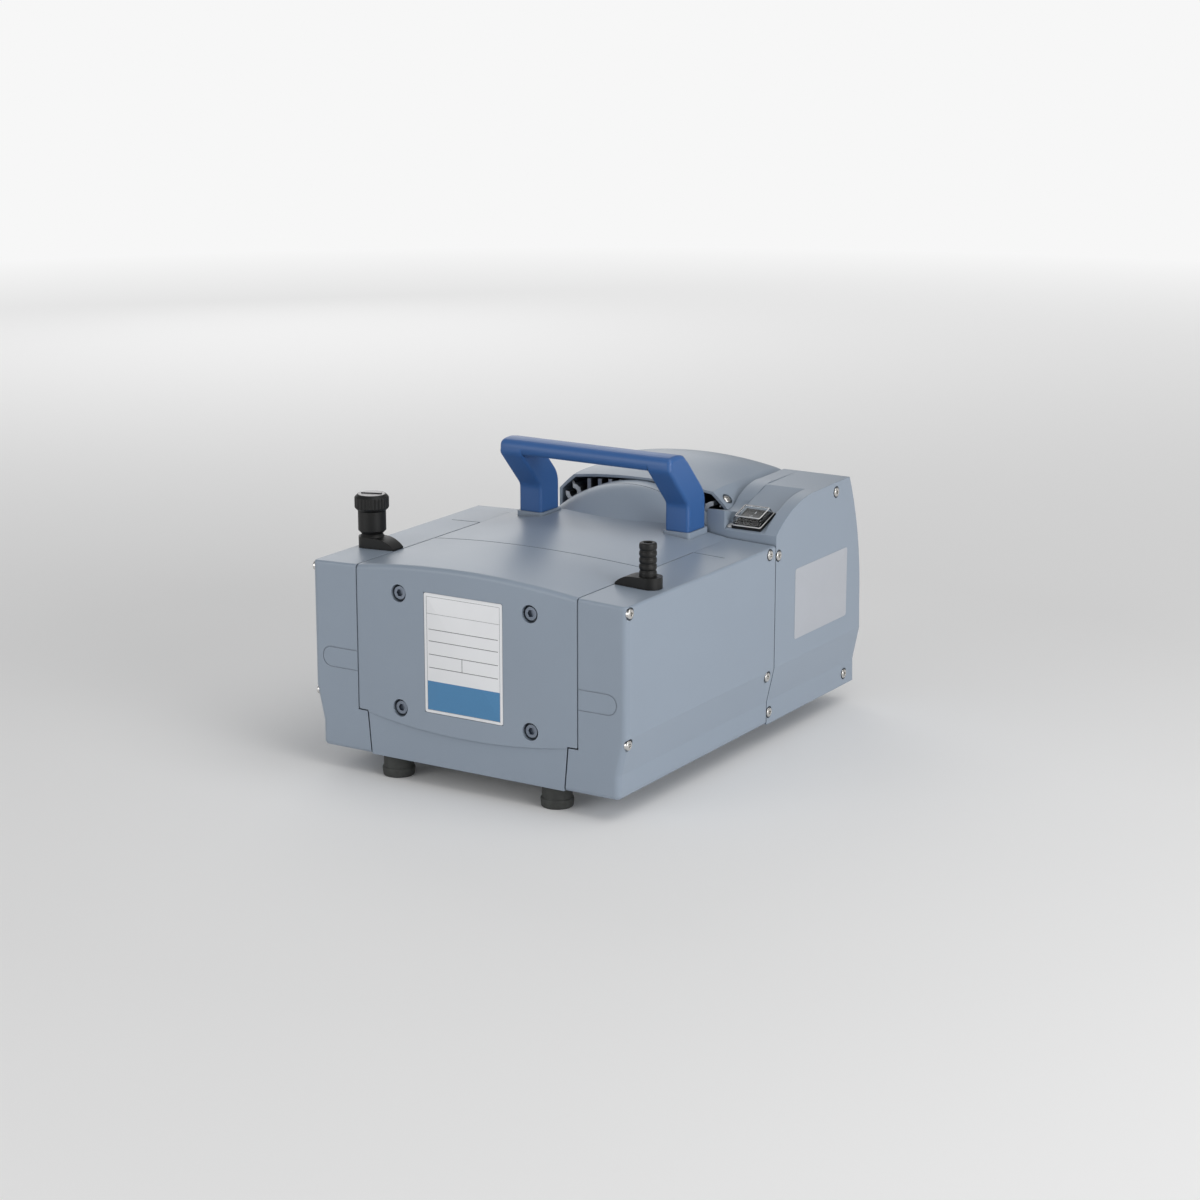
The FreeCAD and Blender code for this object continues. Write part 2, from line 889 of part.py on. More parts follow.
def crankcase():
    half = crankcase_height / 2
    width = crankcase_half_width
    body = block(-width, width, crankcase_front, crankcase_rear, crank_z - half, crank_z + half)
    plate_top = underside + panel_screw_high + frame_boss_radius
    plate_low = underside + panel_screw_low - frame_boss_radius
    body = body.fuse(block(-width, width, frame_front(), crankcase_front, plate_low, plate_top))
    centre = (0, crank_z)
    chamber_front = crankcase_front + crankcase_end_wall
    chamber_rear = crankcase_rear - crankcase_end_wall
    body = body.cut(bar("y", crankcase_bore, chamber_front, chamber_rear, centre))
    for side, y, _ in stations.values():
        mouth = bar("x", mouth_radius, crankcase_bore / 2, width + 1, (y, crank_z))
        body = body.cut(on_side(side, mouth))
    seat = bearing_radius + running_fit
    body = body.cut(bar("y", seat, frame_front() - 1, crankcase_rear + 1, centre))
    for x in (-panel_screw_half_span, panel_screw_half_span):
        for height in (panel_screw_low, panel_screw_high):
            hole = bar("y", panel_screw_radius + running_fit, frame_front() - 1,
                       frame_front() + panel_screw_length, (x, underside + height))
            body = body.cut(hole)
    for side, y, _ in stations.values():
        for dy, dz in head_corner_spots():
            hole = bar("x", head_screw_radius + running_fit, width - head_screw_grip - 1,
                       width + 1, (y + dy, crank_z + dz))
            body = body.cut(on_side(side, hole))
    return body


def main_bearings():
    centre = (0, crank_z)
    inner = shaft_radius + running_fit
    places = [crankcase_front + part_gap, crankcase_rear - bearing_width - part_gap,
              rear_shield_y - bearing_width + rear_shield_thickness]
    return [ring("y", bearing_radius, inner, y, y + bearing_width, centre) for y in places]


def pump_head(side, y):
    """Head with a dished chamber over the clamp disc and two valve pockets."""
    half = head_length / 2 - seat_gap
    tall = head_height / 2
    body = block(head_face, head_back, y - half, y + half, crank_z - tall, crank_z + tall)
    chamber = clamp_radius + throw + part_gap
    depth = clamp_thickness + 2 * throw + seat_gap
    axis_point = V(head_face - 0.01, y, crank_z)
    dish = Part.makeCone(mouth_radius, chamber, depth, axis_point, AXES["x"])
    body = body.cut(dish)
    for offset in (-valve_spacing / 2, valve_spacing / 2):
        pocket = bar("x", valve_radius + 1, head_back - 4, head_back + 1, (y, crank_z + offset))
        port = bar("x", valve_radius * 0.5, head_face, head_back, (y, crank_z + offset))
        body = body.cut(pocket).cut(port)
    for dy, dz in head_corner_spots():
        body = body.cut(bar("x", head_screw_radius + hole_clearance, head_face - 1,
                            head_back + 1, (y + dy, crank_z + dz)))
    return on_side(side, body)


def head_corner_spots():
    dy = head_length / 2 - head_screw_margin
    dz = head_height / 2 - head_screw_margin
    return [(sy * dy, sz * dz) for sy in (-1, 1) for sz in (-1, 1)]


def head_cover(side, y):
    """Ribbed cover that closes the valve pockets."""
    half = head_length / 2 - seat_gap
    tall = head_height / 2
    plate = head_back + (head_cover_face - head_back) * 0.55
    body = block(head_back, plate, y - half, y + half, crank_z - tall, crank_z + tall)
    for k in (-1, 0, 1):
        rib_y = y + k * head_length / 5
        rib = block(plate, head_cover_face, rib_y - 2, rib_y + 2, crank_z - tall * 0.6,
                    crank_z + tall * 0.6)
        body = body.fuse(rib)
    boss = bar("x", port_pipe_radius + 3, plate, head_cover_face, (y, crank_z + valve_spacing / 2))
    low = bar("x", port_pipe_radius + 3, plate, head_cover_face, (y, crank_z - valve_spacing / 2))
    body = body.fuse(boss).fuse(low)
    for offset in (-valve_spacing / 2, valve_spacing / 2):
        body = body.cut(bar("x", port_pipe_radius - 2, head_back - 1, head_cover_face + 1,
                            (y, crank_z + offset)))
    for dy, dz in head_corner_spots():
        body = body.cut(bar("x", head_screw_radius + hole_clearance, head_back - 1,
                            head_cover_face + 1, (y + dy, crank_z + dz)))
    return on_side(side, body)


def valve_disc_pair(side, y):
    discs = []
    for offset in (-valve_spacing / 2, valve_spacing / 2):
        disc = bar("x", valve_radius, head_back - valve_thickness - seat_gap, head_back - seat_gap,
                   (y, crank_z + offset))
        discs.append(on_side(side, disc))
    return discs


def head_screw_set(side, y):
    plate = head_back + (head_cover_face - head_back) * 0.55
    screws = []
    for dy, dz in head_corner_spots():
        spot = (y + dy, crank_z + dz)
        head = bar("x", head_screw_head_radius, plate, plate + head_screw_head_height, spot)
        shank = bar("x", head_screw_radius, crankcase_half_width - head_screw_grip, plate, spot)
        screws.append(on_side(side, head.fuse(shank)))
    return screws


def diaphragm(side, y, lift):
    """Clamped rim with a web that runs to the clamp disc, set over by the crank's throw."""
    inner = crankcase_half_width
    outer = inner + diaphragm_thickness
    web_outer = mouth_radius - 2
    web_inner = clamp_radius
    bore = stud_radius + running_fit
    corners = [
        (diaphragm_radius, inner),
        (diaphragm_radius, outer),
        (web_outer, outer),
        (web_inner, outer + lift),
        (bore, outer + lift),
        (bore, inner + lift),
        (web_inner, inner + lift),
        (web_outer, inner),
    ]
    wire = Part.makePolygon([V(x, y + r, crank_z) for r, x in corners + corners[:1]])
    solid = Part.Face(wire).revolve(V(0, y, crank_z), V(1, 0, 0), 360)
    return on_side(side, solid)


def connecting_rod(side, y, lift, throw_x):
    """Big end on the eccentric, a straight shank and the disc that backs the diaphragm."""
    half = rod_ring_width / 2 - rod_side_play / 2
    centre = (side * throw_x, crank_z)
    outer = eccentric_radius + rod_ring_wall
    support = crankcase_half_width + lift
    disc = bar("x", clamp_radius, support - support_thickness, support, (y, crank_z))
    shank = block(eccentric_radius + side * throw_x, support - support_thickness / 2,
                  y - half, y + half, crank_z - rod_shank_half_height,
                  crank_z + rod_shank_half_height)
    stud = bar("x", stud_radius, support, support + diaphragm_thickness, (y, crank_z))
    big_end = bar("y", outer, y - half, y + half, centre)
    body = big_end.fuse([shank, disc, stud])
    bore = bar("y", eccentric_radius + running_fit, y - half - 1, y + half + 1, centre)
    return on_side(side, body.cut(bore))


def diaphragm_clamp(side, y, lift):
    base = crankcase_half_width + diaphragm_thickness + lift
    crown_depth = clamp_thickness * 0.4
    flat = bar("x", clamp_radius, base, base + clamp_thickness - crown_depth, (y, crank_z))
    top = Part.makeCone(clamp_radius, clamp_radius * 0.7, crown_depth,
                        V(base + clamp_thickness - crown_depth, y, crank_z), AXES["x"])
    return on_side(side, flat.fuse(top).removeSplitter())


def crankshaft():
    shaft = bar("y", shaft_radius, crankcase_front + part_gap, shaft_end, (0, crank_z))
    for sign, (low, high) in ((1, eccentric_range(0)), (-1, eccentric_range(1))):
        journal = bar("y", eccentric_radius, low, high, (sign * throw, crank_z))
        shaft = shaft.fuse(journal)
    return shaft


def eccentric_range(pair):
    right = front_station + pair * head_spacing
    return right - rod_ring_width / 2, right + head_offset + rod_ring_width / 2


def counterweights():
    weights = []
    for pair, sign in ((0, -1), (1, 1)):
        low, high = eccentric_range(pair)
        y0 = high + part_gap if pair == 0 else low - part_gap - weight_thickness
        disc = bar("y", weight_radius, y0, y0 + weight_thickness, (0, crank_z))
        keep = block(-weight_radius, shaft_radius, y0, y0 + weight_thickness,
                     crank_z - weight_radius, crank_z + weight_radius)
        hole = bar("y", shaft_radius + running_fit / 2, y0, y0 + weight_thickness, (0, crank_z))
        weight = disc.common(keep if sign < 0 else mirrored(keep))
        hub = bar("y", shaft_radius + 6, y0, y0 + weight_thickness, (0, crank_z))
        weights.append(weight.fuse(hub).cut(hole))
    return weights


# Motor


def motor_housing():
    """Drawn profile: round bore, straight cooling fins and hooked screw channels."""
    low, high = motor_y, rear_shield_y
    outer = stator_radius + motor_wall
    body = bar("y", outer, low, high, (0, crank_z))
    for k in range(fin_count):
        x = (k - (fin_count - 1) / 2) * fin_pitch
        foot = underside + foot_fin_height
        body = body.fuse(block(x - fin_thickness / 2, x + fin_thickness / 2, low, high,
                               foot, fin_top(x)))
    side_x = (fin_count + 1) / 2 * fin_pitch
    for x in (-side_x, side_x):
        body = body.fuse(block(x - fin_thickness / 2, x + fin_thickness / 2, low, high,
                               crank_z, underside + short_fin_height))
    for side in (-1, 1):
        body = body.fuse(on_side(side, screw_channel(low, high)))
    return body.cut(bar("y", stator_radius, low - 1, high + 1, (0, crank_z)))


def fin_top(x):
    """Fins end just under the arched roof of the hood."""
    rise = hood_front_crown - hood_front_shoulder
    roof_radius = arc_radius(hood_half_width - hood_shoulder_inset, rise)
    sag = roof_radius - math.sqrt(roof_radius ** 2 - x ** 2)
    return underside + hood_front_crown - hood_wall - fin_clearance - sag


def screw_channel(low, high):
    """C shaped channel on a short arm at the upper corner."""
    centre = (hook_half_span, underside + hook_height)
    hook = ring("y", hook_radius, hook_bore, low, high, centre)
    mouth = prism("y", low, high, [
        centre,
        (centre[0] + 2 * hook_radius, centre[1] + hook_radius * 0.2),
        (centre[0] + hook_radius * 0.2, centre[1] + 2 * hook_radius),
    ])
    arm = prism("y", low, high, [
        (centre[0] - hook_radius * 0.9, centre[1] - hook_radius * 0.2),
        (centre[0] - hook_radius * 0.2, centre[1] - hook_radius * 0.9),
        (stator_radius * 0.66, crank_z + stator_radius * 0.78),
        (stator_radius * 0.58, crank_z + stator_radius * 0.84),
    ])
    return hook.cut(mouth).fuse(arm)


def motor_stator():
    mid = (motor_y + rear_shield_y) / 2
    return ring("y", stator_radius - running_fit, rotor_radius + air_gap,
                mid - stator_length / 2, mid + stator_length / 2, (0, crank_z))


def motor_windings():
    mid = (motor_y + rear_shield_y) / 2
    coils = []
    for sign in (-1, 1):
        near = mid + sign * stator_length / 2
        far = near + sign * winding_length
        coil = ring("y", stator_radius - motor_wall, stator_radius - motor_wall - winding_wall,
                    min(near, far), max(near, far), (0, crank_z))
        rim = edges_where(coil, lambda b: b.XLength > 50 and abs(b.YMin - far) < 1e-3)
        coils.append(coil.makeFillet(winding_wall * 0.25, rim))
    return coils


def motor_end_shield_front():
    """Painted flange behind the dome, with a hub that reaches the crankcase."""
    centre = (0, crank_z)
    rim = bar("y", dome_radius, shield_y, motor_y, centre)
    limit = block(-shield_half_width, shield_half_width, shield_y, motor_y,
                  underside + foot_fin_height, 2 * crown)
    hub = bar("y", crankcase_bore, crankcase_rear, shield_y, centre)
    hole = bar("y", shaft_radius + part_gap, crankcase_rear - 1, motor_y + 1, centre)
    bell = bar("y", stator_radius - motor_wall, motor_y - shield_rim / 2, motor_y + 1, centre)
    return rim.common(limit).cut(bell).fuse(hub).cut(hole)


def motor_end_shield_rear():
    centre = (0, crank_z)
    disc = bar("y", stator_radius + motor_wall, rear_shield_y,
               rear_shield_y + rear_shield_thickness, centre)
    hub = bar("y", bearing_radius + 4, rear_shield_y - bearing_width + rear_shield_thickness,
              rear_shield_y, centre)
    seat = bar("y", bearing_radius + running_fit, rear_shield_y - bearing_width,
               rear_shield_y + rear_shield_thickness + 1, centre)
    return disc.fuse(hub).cut(seat)


def rotor():
    mid = (motor_y + rear_shield_y) / 2
    core = ring("y", rotor_radius, shaft_radius + running_fit / 2,
                mid - stator_length / 2, mid + stator_length / 2, (0, crank_z))
    rings = []
    for sign in (-1, 1):
        near = mid + sign * stator_length / 2
        far = near + sign * winding_length * 0.5
        rings.append(ring("y", rotor_radius - 3, rotor_radius - 12, min(near, far),
                          max(near, far), (0, crank_z)))
    return core.fuse(rings)


def cooling_fan():
    centre = (0, crank_z)
    hub = bar("y", fan_hub_radius, fan_y, fan_y + fan_width, centre)
    mid = fan_y + fan_width / 2
    reach = (fan_width - fan_blade_thickness) / 2 / math.cos(math.radians(fan_blade_pitch))
    blades = []
    for k in range(fan_blades):
        blade = block(-fan_blade_thickness / 2, fan_blade_thickness / 2, mid - reach, mid + reach,
                      crank_z + fan_hub_radius - 1, crank_z + fan_radius)
        blade.rotate(V(0, mid, crank_z), V(0, 0, 1), fan_blade_pitch)
        blade.rotate(V(0, mid, crank_z), V(0, 1, 0), 360.0 * k / fan_blades)
        blades.append(blade)
    hole = bar("y", shaft_radius + running_fit / 2, fan_y - 1, fan_y + fan_width + 1, centre)
    return hub.fuse(blades).cut(hole)


# Rear hood


def hood_section(y, corner, shoulder, top, bulge, inset):
    """Arched outline across Y: upright sides, a rolled corner on each side and the roof's arc."""
    low = underside - inset
    width = hood_half_width - inset
    knee = hood_half_width - hood_shoulder_inset - inset * 0.6
    corner_z = corner - inset * 0.4
    shoulder_z = shoulder - inset
    run, rise = width - knee, shoulder_z - corner_z
    chord = math.hypot(run, rise)
    mid_x = (width + knee) / 2 + bulge * rise / chord
    mid_z = (corner_z + shoulder_z) / 2 + bulge * run / chord
    return outline("y", y, [
        (-width, low),
        (-width, corner_z),
        ((-mid_x, mid_z), (-knee, shoulder_z)),
        ((0, top - inset), (knee, shoulder_z)),
        ((mid_x, mid_z), (width, corner_z)),
        (width, low),
    ])


def hood_loft(inset):
    """Hood body through five outlines: crisp corners in front roll over towards the rear."""
    front = motor_y + seat_gap
    length = rear_end - front
    corner = underside + hood_front_corner
    shoulder = underside + hood_front_shoulder
    top = underside + hood_front_crown
    first = front - (part_gap if inset else 0)
    last = rear_end - inset
    sections = [
        hood_section(first, corner, shoulder, top, hood_chamfer_bulge, inset),
        hood_section(front + length * 0.30, corner + hood_corner_rise * 0.6,
                     shoulder + hood_shoulder_rise * 0.5, top + hood_rise * 0.65,
                     hood_roll * 0.5, inset),
        hood_section(front + length * 0.60, corner + hood_corner_rise,
                     shoulder + hood_shoulder_rise, top + hood_rise, hood_roll, inset),
        hood_section(front + length * 0.84, corner + hood_corner_rise * 0.3,
                     shoulder + hood_shoulder_rise * 0.7, top + hood_rise * 0.6, hood_roll, inset),
        hood_section(last, corner - hood_rear_drop, shoulder - hood_rear_drop * 0.9,
                     top - hood_rear_drop * 0.45, hood_roll, inset),
    ]
    return Part.makeLoft(sections, True, False)


def rear_hood():
    shell = hood_loft(0).cut(hood_loft(hood_wall))
    count = int(grille_radius / grille_pitch)
    for k in range(-count, count + 1):
        x = k * grille_pitch
        reach = math.sqrt(max(1, grille_radius ** 2 - x ** 2))
        slot = block(x - grille_slot / 2, x + grille_slot / 2, rear_end - 2 * hood_wall,
                     rear_end + 1, crank_z - reach, crank_z + reach)
        shell = shell.cut(slot)
    skirt = block(-hood_half_width, hood_wall - hood_half_width, cover_rear + seam_gap,
                  motor_y + 2 * part_gap, underside, underside + hood_skirt_height)
    shell = shell.fuse(skirt)
    for side in (-1, 1):
        shell = shell.cut(on_side(side, hood_screw_room()))
    return shell


def hood_screw_frame():
    """Centre and outward direction of the screw on the front chamfer."""
    low = V(hood_half_width, 0, underside + hood_front_corner)
    high = V(hood_half_width - hood_shoulder_inset, 0, underside + hood_front_shoulder)
    along = high.sub(low)
    centre = low.add(along * 0.45)
    centre.y = motor_y + 8
    normal = V(along.z, 0, -along.x)
    normal.normalize()
    return centre, normal


def hood_screw_room():
    centre, normal = hood_screw_frame()
    shaft = Part.makeCylinder(screw_shank_radius + hole_clearance, 12, centre.sub(normal * 8),
                              normal)
    seat = Part.makeCylinder(screw_counterbore_radius, 6, centre.add(normal * hood_seat_lift),
                             normal)
    return shaft.fuse(seat)


def hood_screws():
    centre, normal = hood_screw_frame()
    start = centre.add(normal * hood_seat_lift)
    head = Part.makeCylinder(screw_head_radius, screw_head_height, start, normal)
    shank = Part.makeCylinder(screw_shank_radius, screw_length - 2, start.sub(normal * (screw_length - 2)),
                              normal)
    screw = head.fuse(shank)
    return [screw, mirrored(screw)]


# Electrical box


def box_front():
    return cover_rear + seam_gap


def box_rear():
    return rear_end - box_rear_inset


def box_profile(inset, kind):
    """Side outline of the box: a straight, bulging or dished climb, then the top and the rear."""
    front = box_front() + inset
    low = underside + inset
    top = underside + box_top_height - inset
    knee = (box_front() + slope_length, underside + box_front_height + slope_rise - inset)
    start_z = underside + box_front_height - inset
    rear = box_rear() - inset
    belly = (rear - box_rear_lean * 0.35, underside + box_top_height * 0.72)
    hip = (rear - box_rear_lean * 0.12, underside + box_top_height * 0.4)
    climb = [(front, start_z), knee]
    if kind == "rim":
        middle = (box_front() + slope_length * 0.42,
                  start_z + slope_rise * 0.42 + box_rim_bulge)
        climb = [(front, start_z), (middle, knee)]
    if kind == "band":
        climb = band_climb(inset)
    return [(front, low)] + climb + [
        (rear - box_rear_lean, top),
        (belly, hip),
        (rear, low),
    ]


def band_climb(inset):
    """Low flat, a hollow curve and a round one, up to the top beside the hood."""
    low_z = underside + band_low_height - inset
    start_y = box_front() + band_low_length
    turn = (start_y + band_curve_length, low_z + band_curve_rise)
    hollow = ((start_y + turn[0]) / 2 + band_sag, (low_z + turn[1]) / 2 - band_sag)
    knee = (box_front() + slope_length + band_curve_length,
            underside + box_top_height - band_top_fall - inset)
    swell = (turn[0] + (knee[0] - turn[0]) * 0.4, turn[1] + (knee[1] - turn[1]) * 0.72)
    return [(box_front() + inset, low_z), (start_y, low_z), (hollow, turn), (swell, knee)]


def side_limit(x0, x1, inset):
    """Slab whose outer face follows the tapered side wall."""
    outer = half_width - inset
    lower = half_width - side_step - inset
    return prism("y", cover_rear - 1, rear_end + 1, [
        (x0, 0),
        (lower, 0),
        (lower, underside + taper_low),
        (outer, underside + taper_high),
        (outer, 2 * crown),
        (x0, 2 * crown),
    ]).common(block(x0, x1, cover_rear - 1, rear_end + 1, 0, 2 * crown))


def box_inner_x():
    return hood_half_width + seat_gap


def box_cheek():
    """Wedge beside the handle leg: highest at the front wall, it falls to the hood's corner."""
    inner = box_inner_x()
    front = box_front()
    rear = front + cheek_length
    cheek = prism("x", inner - cheek_reach, inner + band_width, [
        (front, underside),
        (front, underside + cheek_front_height),
        (rear, underside + band_low_height),
        (rear, underside),
    ])
    edge = edges_where(cheek, lambda b: b.XMax < inner and b.YLength > 10
                       and b.ZMin > underside + band_low_height - 1)
    return cheek.makeFillet(cheek_corner, edge)


def box_outer():
    inner = box_inner_x()
    band = prism("x", inner, inner + band_width, box_profile(0, "band"))
    body = prism("x", inner + band_width, half_width, box_profile(0, "plain"))
    rim = prism("x", half_width - box_rim_width, half_width, box_profile(0, "rim"))
    whole = body.fuse([band, rim, box_cheek()])
    return whole.common(side_limit(inner - cheek_reach, half_width, 0))


def box_cavity():
    """Inside of the box: under the band, under the slope, and under the lower of both between."""
    inner = box_inner_x()
    outer = half_width - box_wall
    band_edge = inner + band_width
    dished = box_profile(box_wall, "band")
    plain = box_profile(box_wall, "plain")
    left = prism("x", inner - 1, band_edge - box_wall, dished)
    between = prism("x", band_edge - box_wall, band_edge, dished).common(
        prism("x", band_edge - box_wall, band_edge, plain))
    cavity = left.fuse([between, prism("x", band_edge, outer, plain)])
    cavity = cavity.common(side_limit(inner - 1, outer, box_wall))
    return cavity.cut(block(0, inner, box_front(), box_front() + cheek_length, 0, 2 * crown))


def inlet_spot():
    x = (box_inner_x() + half_width - side_step) / 2
    return x, underside + inlet_centre_height


def inlet_pad_y():
    """Flat face of the mains inlet, sunk below the leaning rear wall."""
    return box_rear() - inlet_sink


def electrical_box():
    shell = box_outer().cut(box_cavity())
    x, z = inlet_spot()
    wide = inlet_width / 2 + part_gap
    tall = inlet_height / 2 + part_gap
    pad = inlet_pad_y()
    thick = block(x - wide - box_wall, x + wide + box_wall, pad - inlet_pad_wall, pad + 2,
                  z - tall - box_wall, z + tall + box_wall)
    shell = shell.fuse(thick.common(box_outer()))
    shell = shell.cut(block(x - wide, x + wide, pad, rear_end + 1, z - tall, z + tall))
    hole_w = inlet_width / 2 - inlet_border + hole_clearance
    hole_h = inlet_height / 2 - inlet_border + hole_clearance
    shell = shell.cut(block(x - hole_w, x + hole_w, pad - inlet_pad_wall - 1, pad + 1,
                            z - hole_h, z + hole_h))
    shell = shell.cut(in_switch_frame(switch_hole()))
    for y, height, side_x in box_screw_spots():
        shell = shell.fuse(screw_boss(side_x, y, height).common(box_outer()))
    for y, height, side_x in box_screw_spots():
        shell = shell.cut(pan_screw_room(side_x, y, height))
    return shell


def electrical_tray():
    """Plate that closes the box towards the motor."""
    inner = box_inner_x()
    plate = prism("x", inner, inner + tray_thickness, box_profile(box_wall + seat_gap, "band"))
    return plate


def mains_inlet():
    x, z = inlet_spot()
    pad = inlet_pad_y()
    wide, tall = inlet_width / 2, inlet_height / 2
    flange = block(x - wide, x + wide, pad, pad + inlet_flange, z - tall, z + tall)
    corners = edges_where(flange, lambda b: b.YLength > 1 and b.XLength + b.ZLength < 1e-6)
    flange = flange.makeFillet(3, corners)
    inner_w, inner_h = wide - inlet_border, tall - inlet_border
    body = block(x - inner_w, x + inner_w, pad - inlet_body_depth, pad, z - inner_h, z + inner_h)
    hollow_w, hollow_h = inner_w - 1.5, inner_h - 1.5
    top = pad + inlet_flange
    hollow = prism("y", top - inlet_recess_depth, top + 1, [
        (x - hollow_w, z - hollow_h),
        (x + hollow_w, z - hollow_h),
        (x + hollow_w, z + hollow_h * 0.4),
        (x + hollow_w * 0.6, z + hollow_h),
        (x - hollow_w * 0.6, z + hollow_h),
        (x - hollow_w, z + hollow_h * 0.4),
    ])
    socket = flange.fuse(body).cut(hollow)
    for dx, dz in ((-7, -1), (0, 3), (7, -1)):
        pin = block(x + dx - inlet_pin / 2, x + dx + inlet_pin / 2, top - inlet_recess_depth,
                    top - inlet_pin_sink, z + dz - 2, z + dz + 2)
        socket = socket.fuse(pin)
    return socket


def capacitor():
    x = box_inner_x() + tray_thickness + seat_gap + capacitor_radius
    z = underside + capacitor_height
    y = box_front() + box_wall + part_gap
    body = bar("y", capacitor_radius, y, y + capacitor_length, (x, z))
    strap = block(box_inner_x() + tray_thickness, x, y + capacitor_length * 0.4,
                  y + capacitor_length * 0.6, z - capacitor_radius - 2, z + capacitor_radius + 2)
    return body.fuse(strap)


# Rocker switch, modelled flat and then laid on the slope


def slope_angle():
    return math.degrees(math.atan2(slope_rise, slope_length))


def switch_centre():
    x = half_width - box_rim_width - switch_width / 2 - switch_margin
    y = box_front() + switch_back
    z = underside + box_front_height + slope_rise * switch_back / slope_length
    return V(x, y, z)


def in_switch_frame(shape):
    placed = shape.copy()
    placed.rotate(V(0, 0, 0), V(1, 0, 0), slope_angle())
    placed.translate(switch_centre())
    return placed


def switch_hole():
    wide = switch_width / 2 - switch_border / 2 + hole_clearance
    long = switch_length / 2 - switch_border / 2 + hole_clearance
    return block(-wide, wide, -long, long, -2 * box_wall, box_wall)


def switch_opening():
    wide = switch_width / 2 - switch_border
    long = switch_length / 2 - switch_border
    return wide, long


def rocker_pivot():
    return -rocker_depth / 2 + 1


def switch_housing():
    wide, long = switch_opening()
    bezel = block(-switch_width / 2, switch_width / 2, -switch_length / 2, switch_length / 2,
                  0, switch_bezel)
    body = block(-wide - switch_border / 2, wide + switch_border / 2,
                 -long - switch_border / 2, long + switch_border / 2, -switch_body_depth, 0)
    well = block(-wide, wide, -long, long, -rocker_depth - 4, switch_bezel + 1)
    pins = bar("x", rocker_pin_radius + running_fit, -wide - rocker_pin_length - 0.1,
               wide + rocker_pin_length + 0.1, (0, rocker_pivot()))
    return in_switch_frame(bezel.fuse(body).cut(well).cut(pins))


def switch_rocker():
    wide, long = switch_opening()
    half_w = wide - switch_clearance
    half_l = long - rocker_depth * math.sin(math.radians(rocker_tilt)) / 2 - switch_clearance
    low = -rocker_depth / 2
    key = prism("x", -half_w, half_w, [
        (-half_l, low + 1),
        (-half_l, rocker_crown + 1),
        ((0, rocker_crown - 0.4), (half_l, rocker_crown + 1)),
        (half_l, low + 1),
        (half_l * 0.35, low - 1.5),
        (-half_l * 0.35, low - 1.5),
    ])
    pins = bar("x", rocker_pin_radius, -wide - rocker_pin_length, wide + rocker_pin_length,
               (0, rocker_pivot()))
    key = key.fuse(pins)
    key.rotate(V(0, 0, rocker_pivot()), V(1, 0, 0), -rocker_tilt)
    return in_switch_frame(key)


def frustum(half_w, half_l, low, high):
    base = outline("z", low, [(-half_w, -half_l), (half_w, -half_l), (half_w, half_l),
                              (-half_w, half_l)])
    top_w, top_l = half_w - boot_side_taper, half_l - boot_end_taper
    top = outline("z", high, [(-top_w, -top_l), (top_w, -top_l), (top_w, top_l), (-top_w, top_l)])
    return Part.makeLoft([base, top], True, True)


def switch_boot():
    """Clear cap over the rocker: four leaning walls and a flat top."""
    half_w = switch_width / 2 - boot_border
    half_l = switch_length / 2 - boot_border
    low = switch_bezel
    high = switch_bezel + boot_height
    shell = frustum(half_w, half_l, low, high)
    hollow = frustum(half_w - boot_wall, half_l - boot_wall, low - 0.01, high - boot_wall)
    return in_switch_frame(shell.cut(hollow))


# Ports


def port_base(x, y):
    """Black shoe seated on the sloping deck: an oval foot with a tail down to the panel's seam."""
    deck = deck_at(x)
    top = deck + port_base_height
    centre_x = x + port_base_shift
    tail_x = panel_half_width + seam_gap
    r = port_base_radius
    foot = prism("z", deck - edge_drop, top, [
        (centre_x, y + r),
        (tail_x, y + port_tail_back),
        (tail_x, y - r + port_tail_taper),
        (centre_x, y - r),
        ((centre_x + r, y), (centre_x, y + r)),
    ])
    start_x = x - port_tail_start
    swell = (tail_x + (start_x - tail_x) * 0.4, deck + port_base_height * 0.76)
    limit = prism("y", y - 2 * r, y + 2 * r, [
        (tail_x, deck - 2 * edge_drop),
        (tail_x, deck_at(tail_x) + port_tail_tip),
        (swell, (start_x, top)),
        (centre_x + 2 * r, top),
        (centre_x + 2 * r, deck - 2 * edge_drop),
    ])
    body = foot.common(limit)
    skin = side_block(0, flange_front, cover_rear)
    return body.cut(skin).cut(crowned_block(0, flange_front, cover_rear, panel_half_width))


def port_elbow(x, y, y_head):
    """Pipe from the deck down to the boss of the head cover, with a rounded turn."""
    level = crank_z + valve_spacing / 2
    pipe = bar("z", port_pipe_radius, level, deck_at(x) + port_base_height, (x, y))
    pipe = pipe.fuse(Part.makeSphere(port_pipe_radius, V(x, y, level)))
    if abs(y_head - y) > 1e-6:
        side_run = bar("y", port_pipe_radius, min(y, y_head), max(y, y_head), (x, level))
        pipe = pipe.fuse([side_run, Part.makeSphere(port_pipe_radius, V(x, y_head, level))])
    end = bar("x", port_pipe_radius, head_cover_face, x, (y_head, level))
    return pipe.fuse(end).removeSplitter()


def barbed(radius, length, bore, spot, axis, start):
    """Hose tail with rounded barbs, turned about its own axis."""
    step = length / nozzle_barbs
    root = radius - barb_depth
    corners = [(bore, 0), (root, 0)]
    for k in range(nozzle_barbs):
        corners.append((root, (k + barb_low) * step))
        corners.append((radius, (k + barb_full) * step))
        corners.append((radius, (k + barb_end) * step))
        corners.append((root, (k + 1) * step))
    corners.append((bore, length))
    wire = Part.makePolygon([V(r, 0, h) for r, h in corners + corners[:1]])
    solid = Part.Face(wire).revolve(V(0, 0, 0), V(0, 0, 1), 360)
    if axis == "y":
        solid.rotate(V(0, 0, 0), V(1, 0, 0), -90)
    solid.translate(point(axis, start, spot))
    return solid


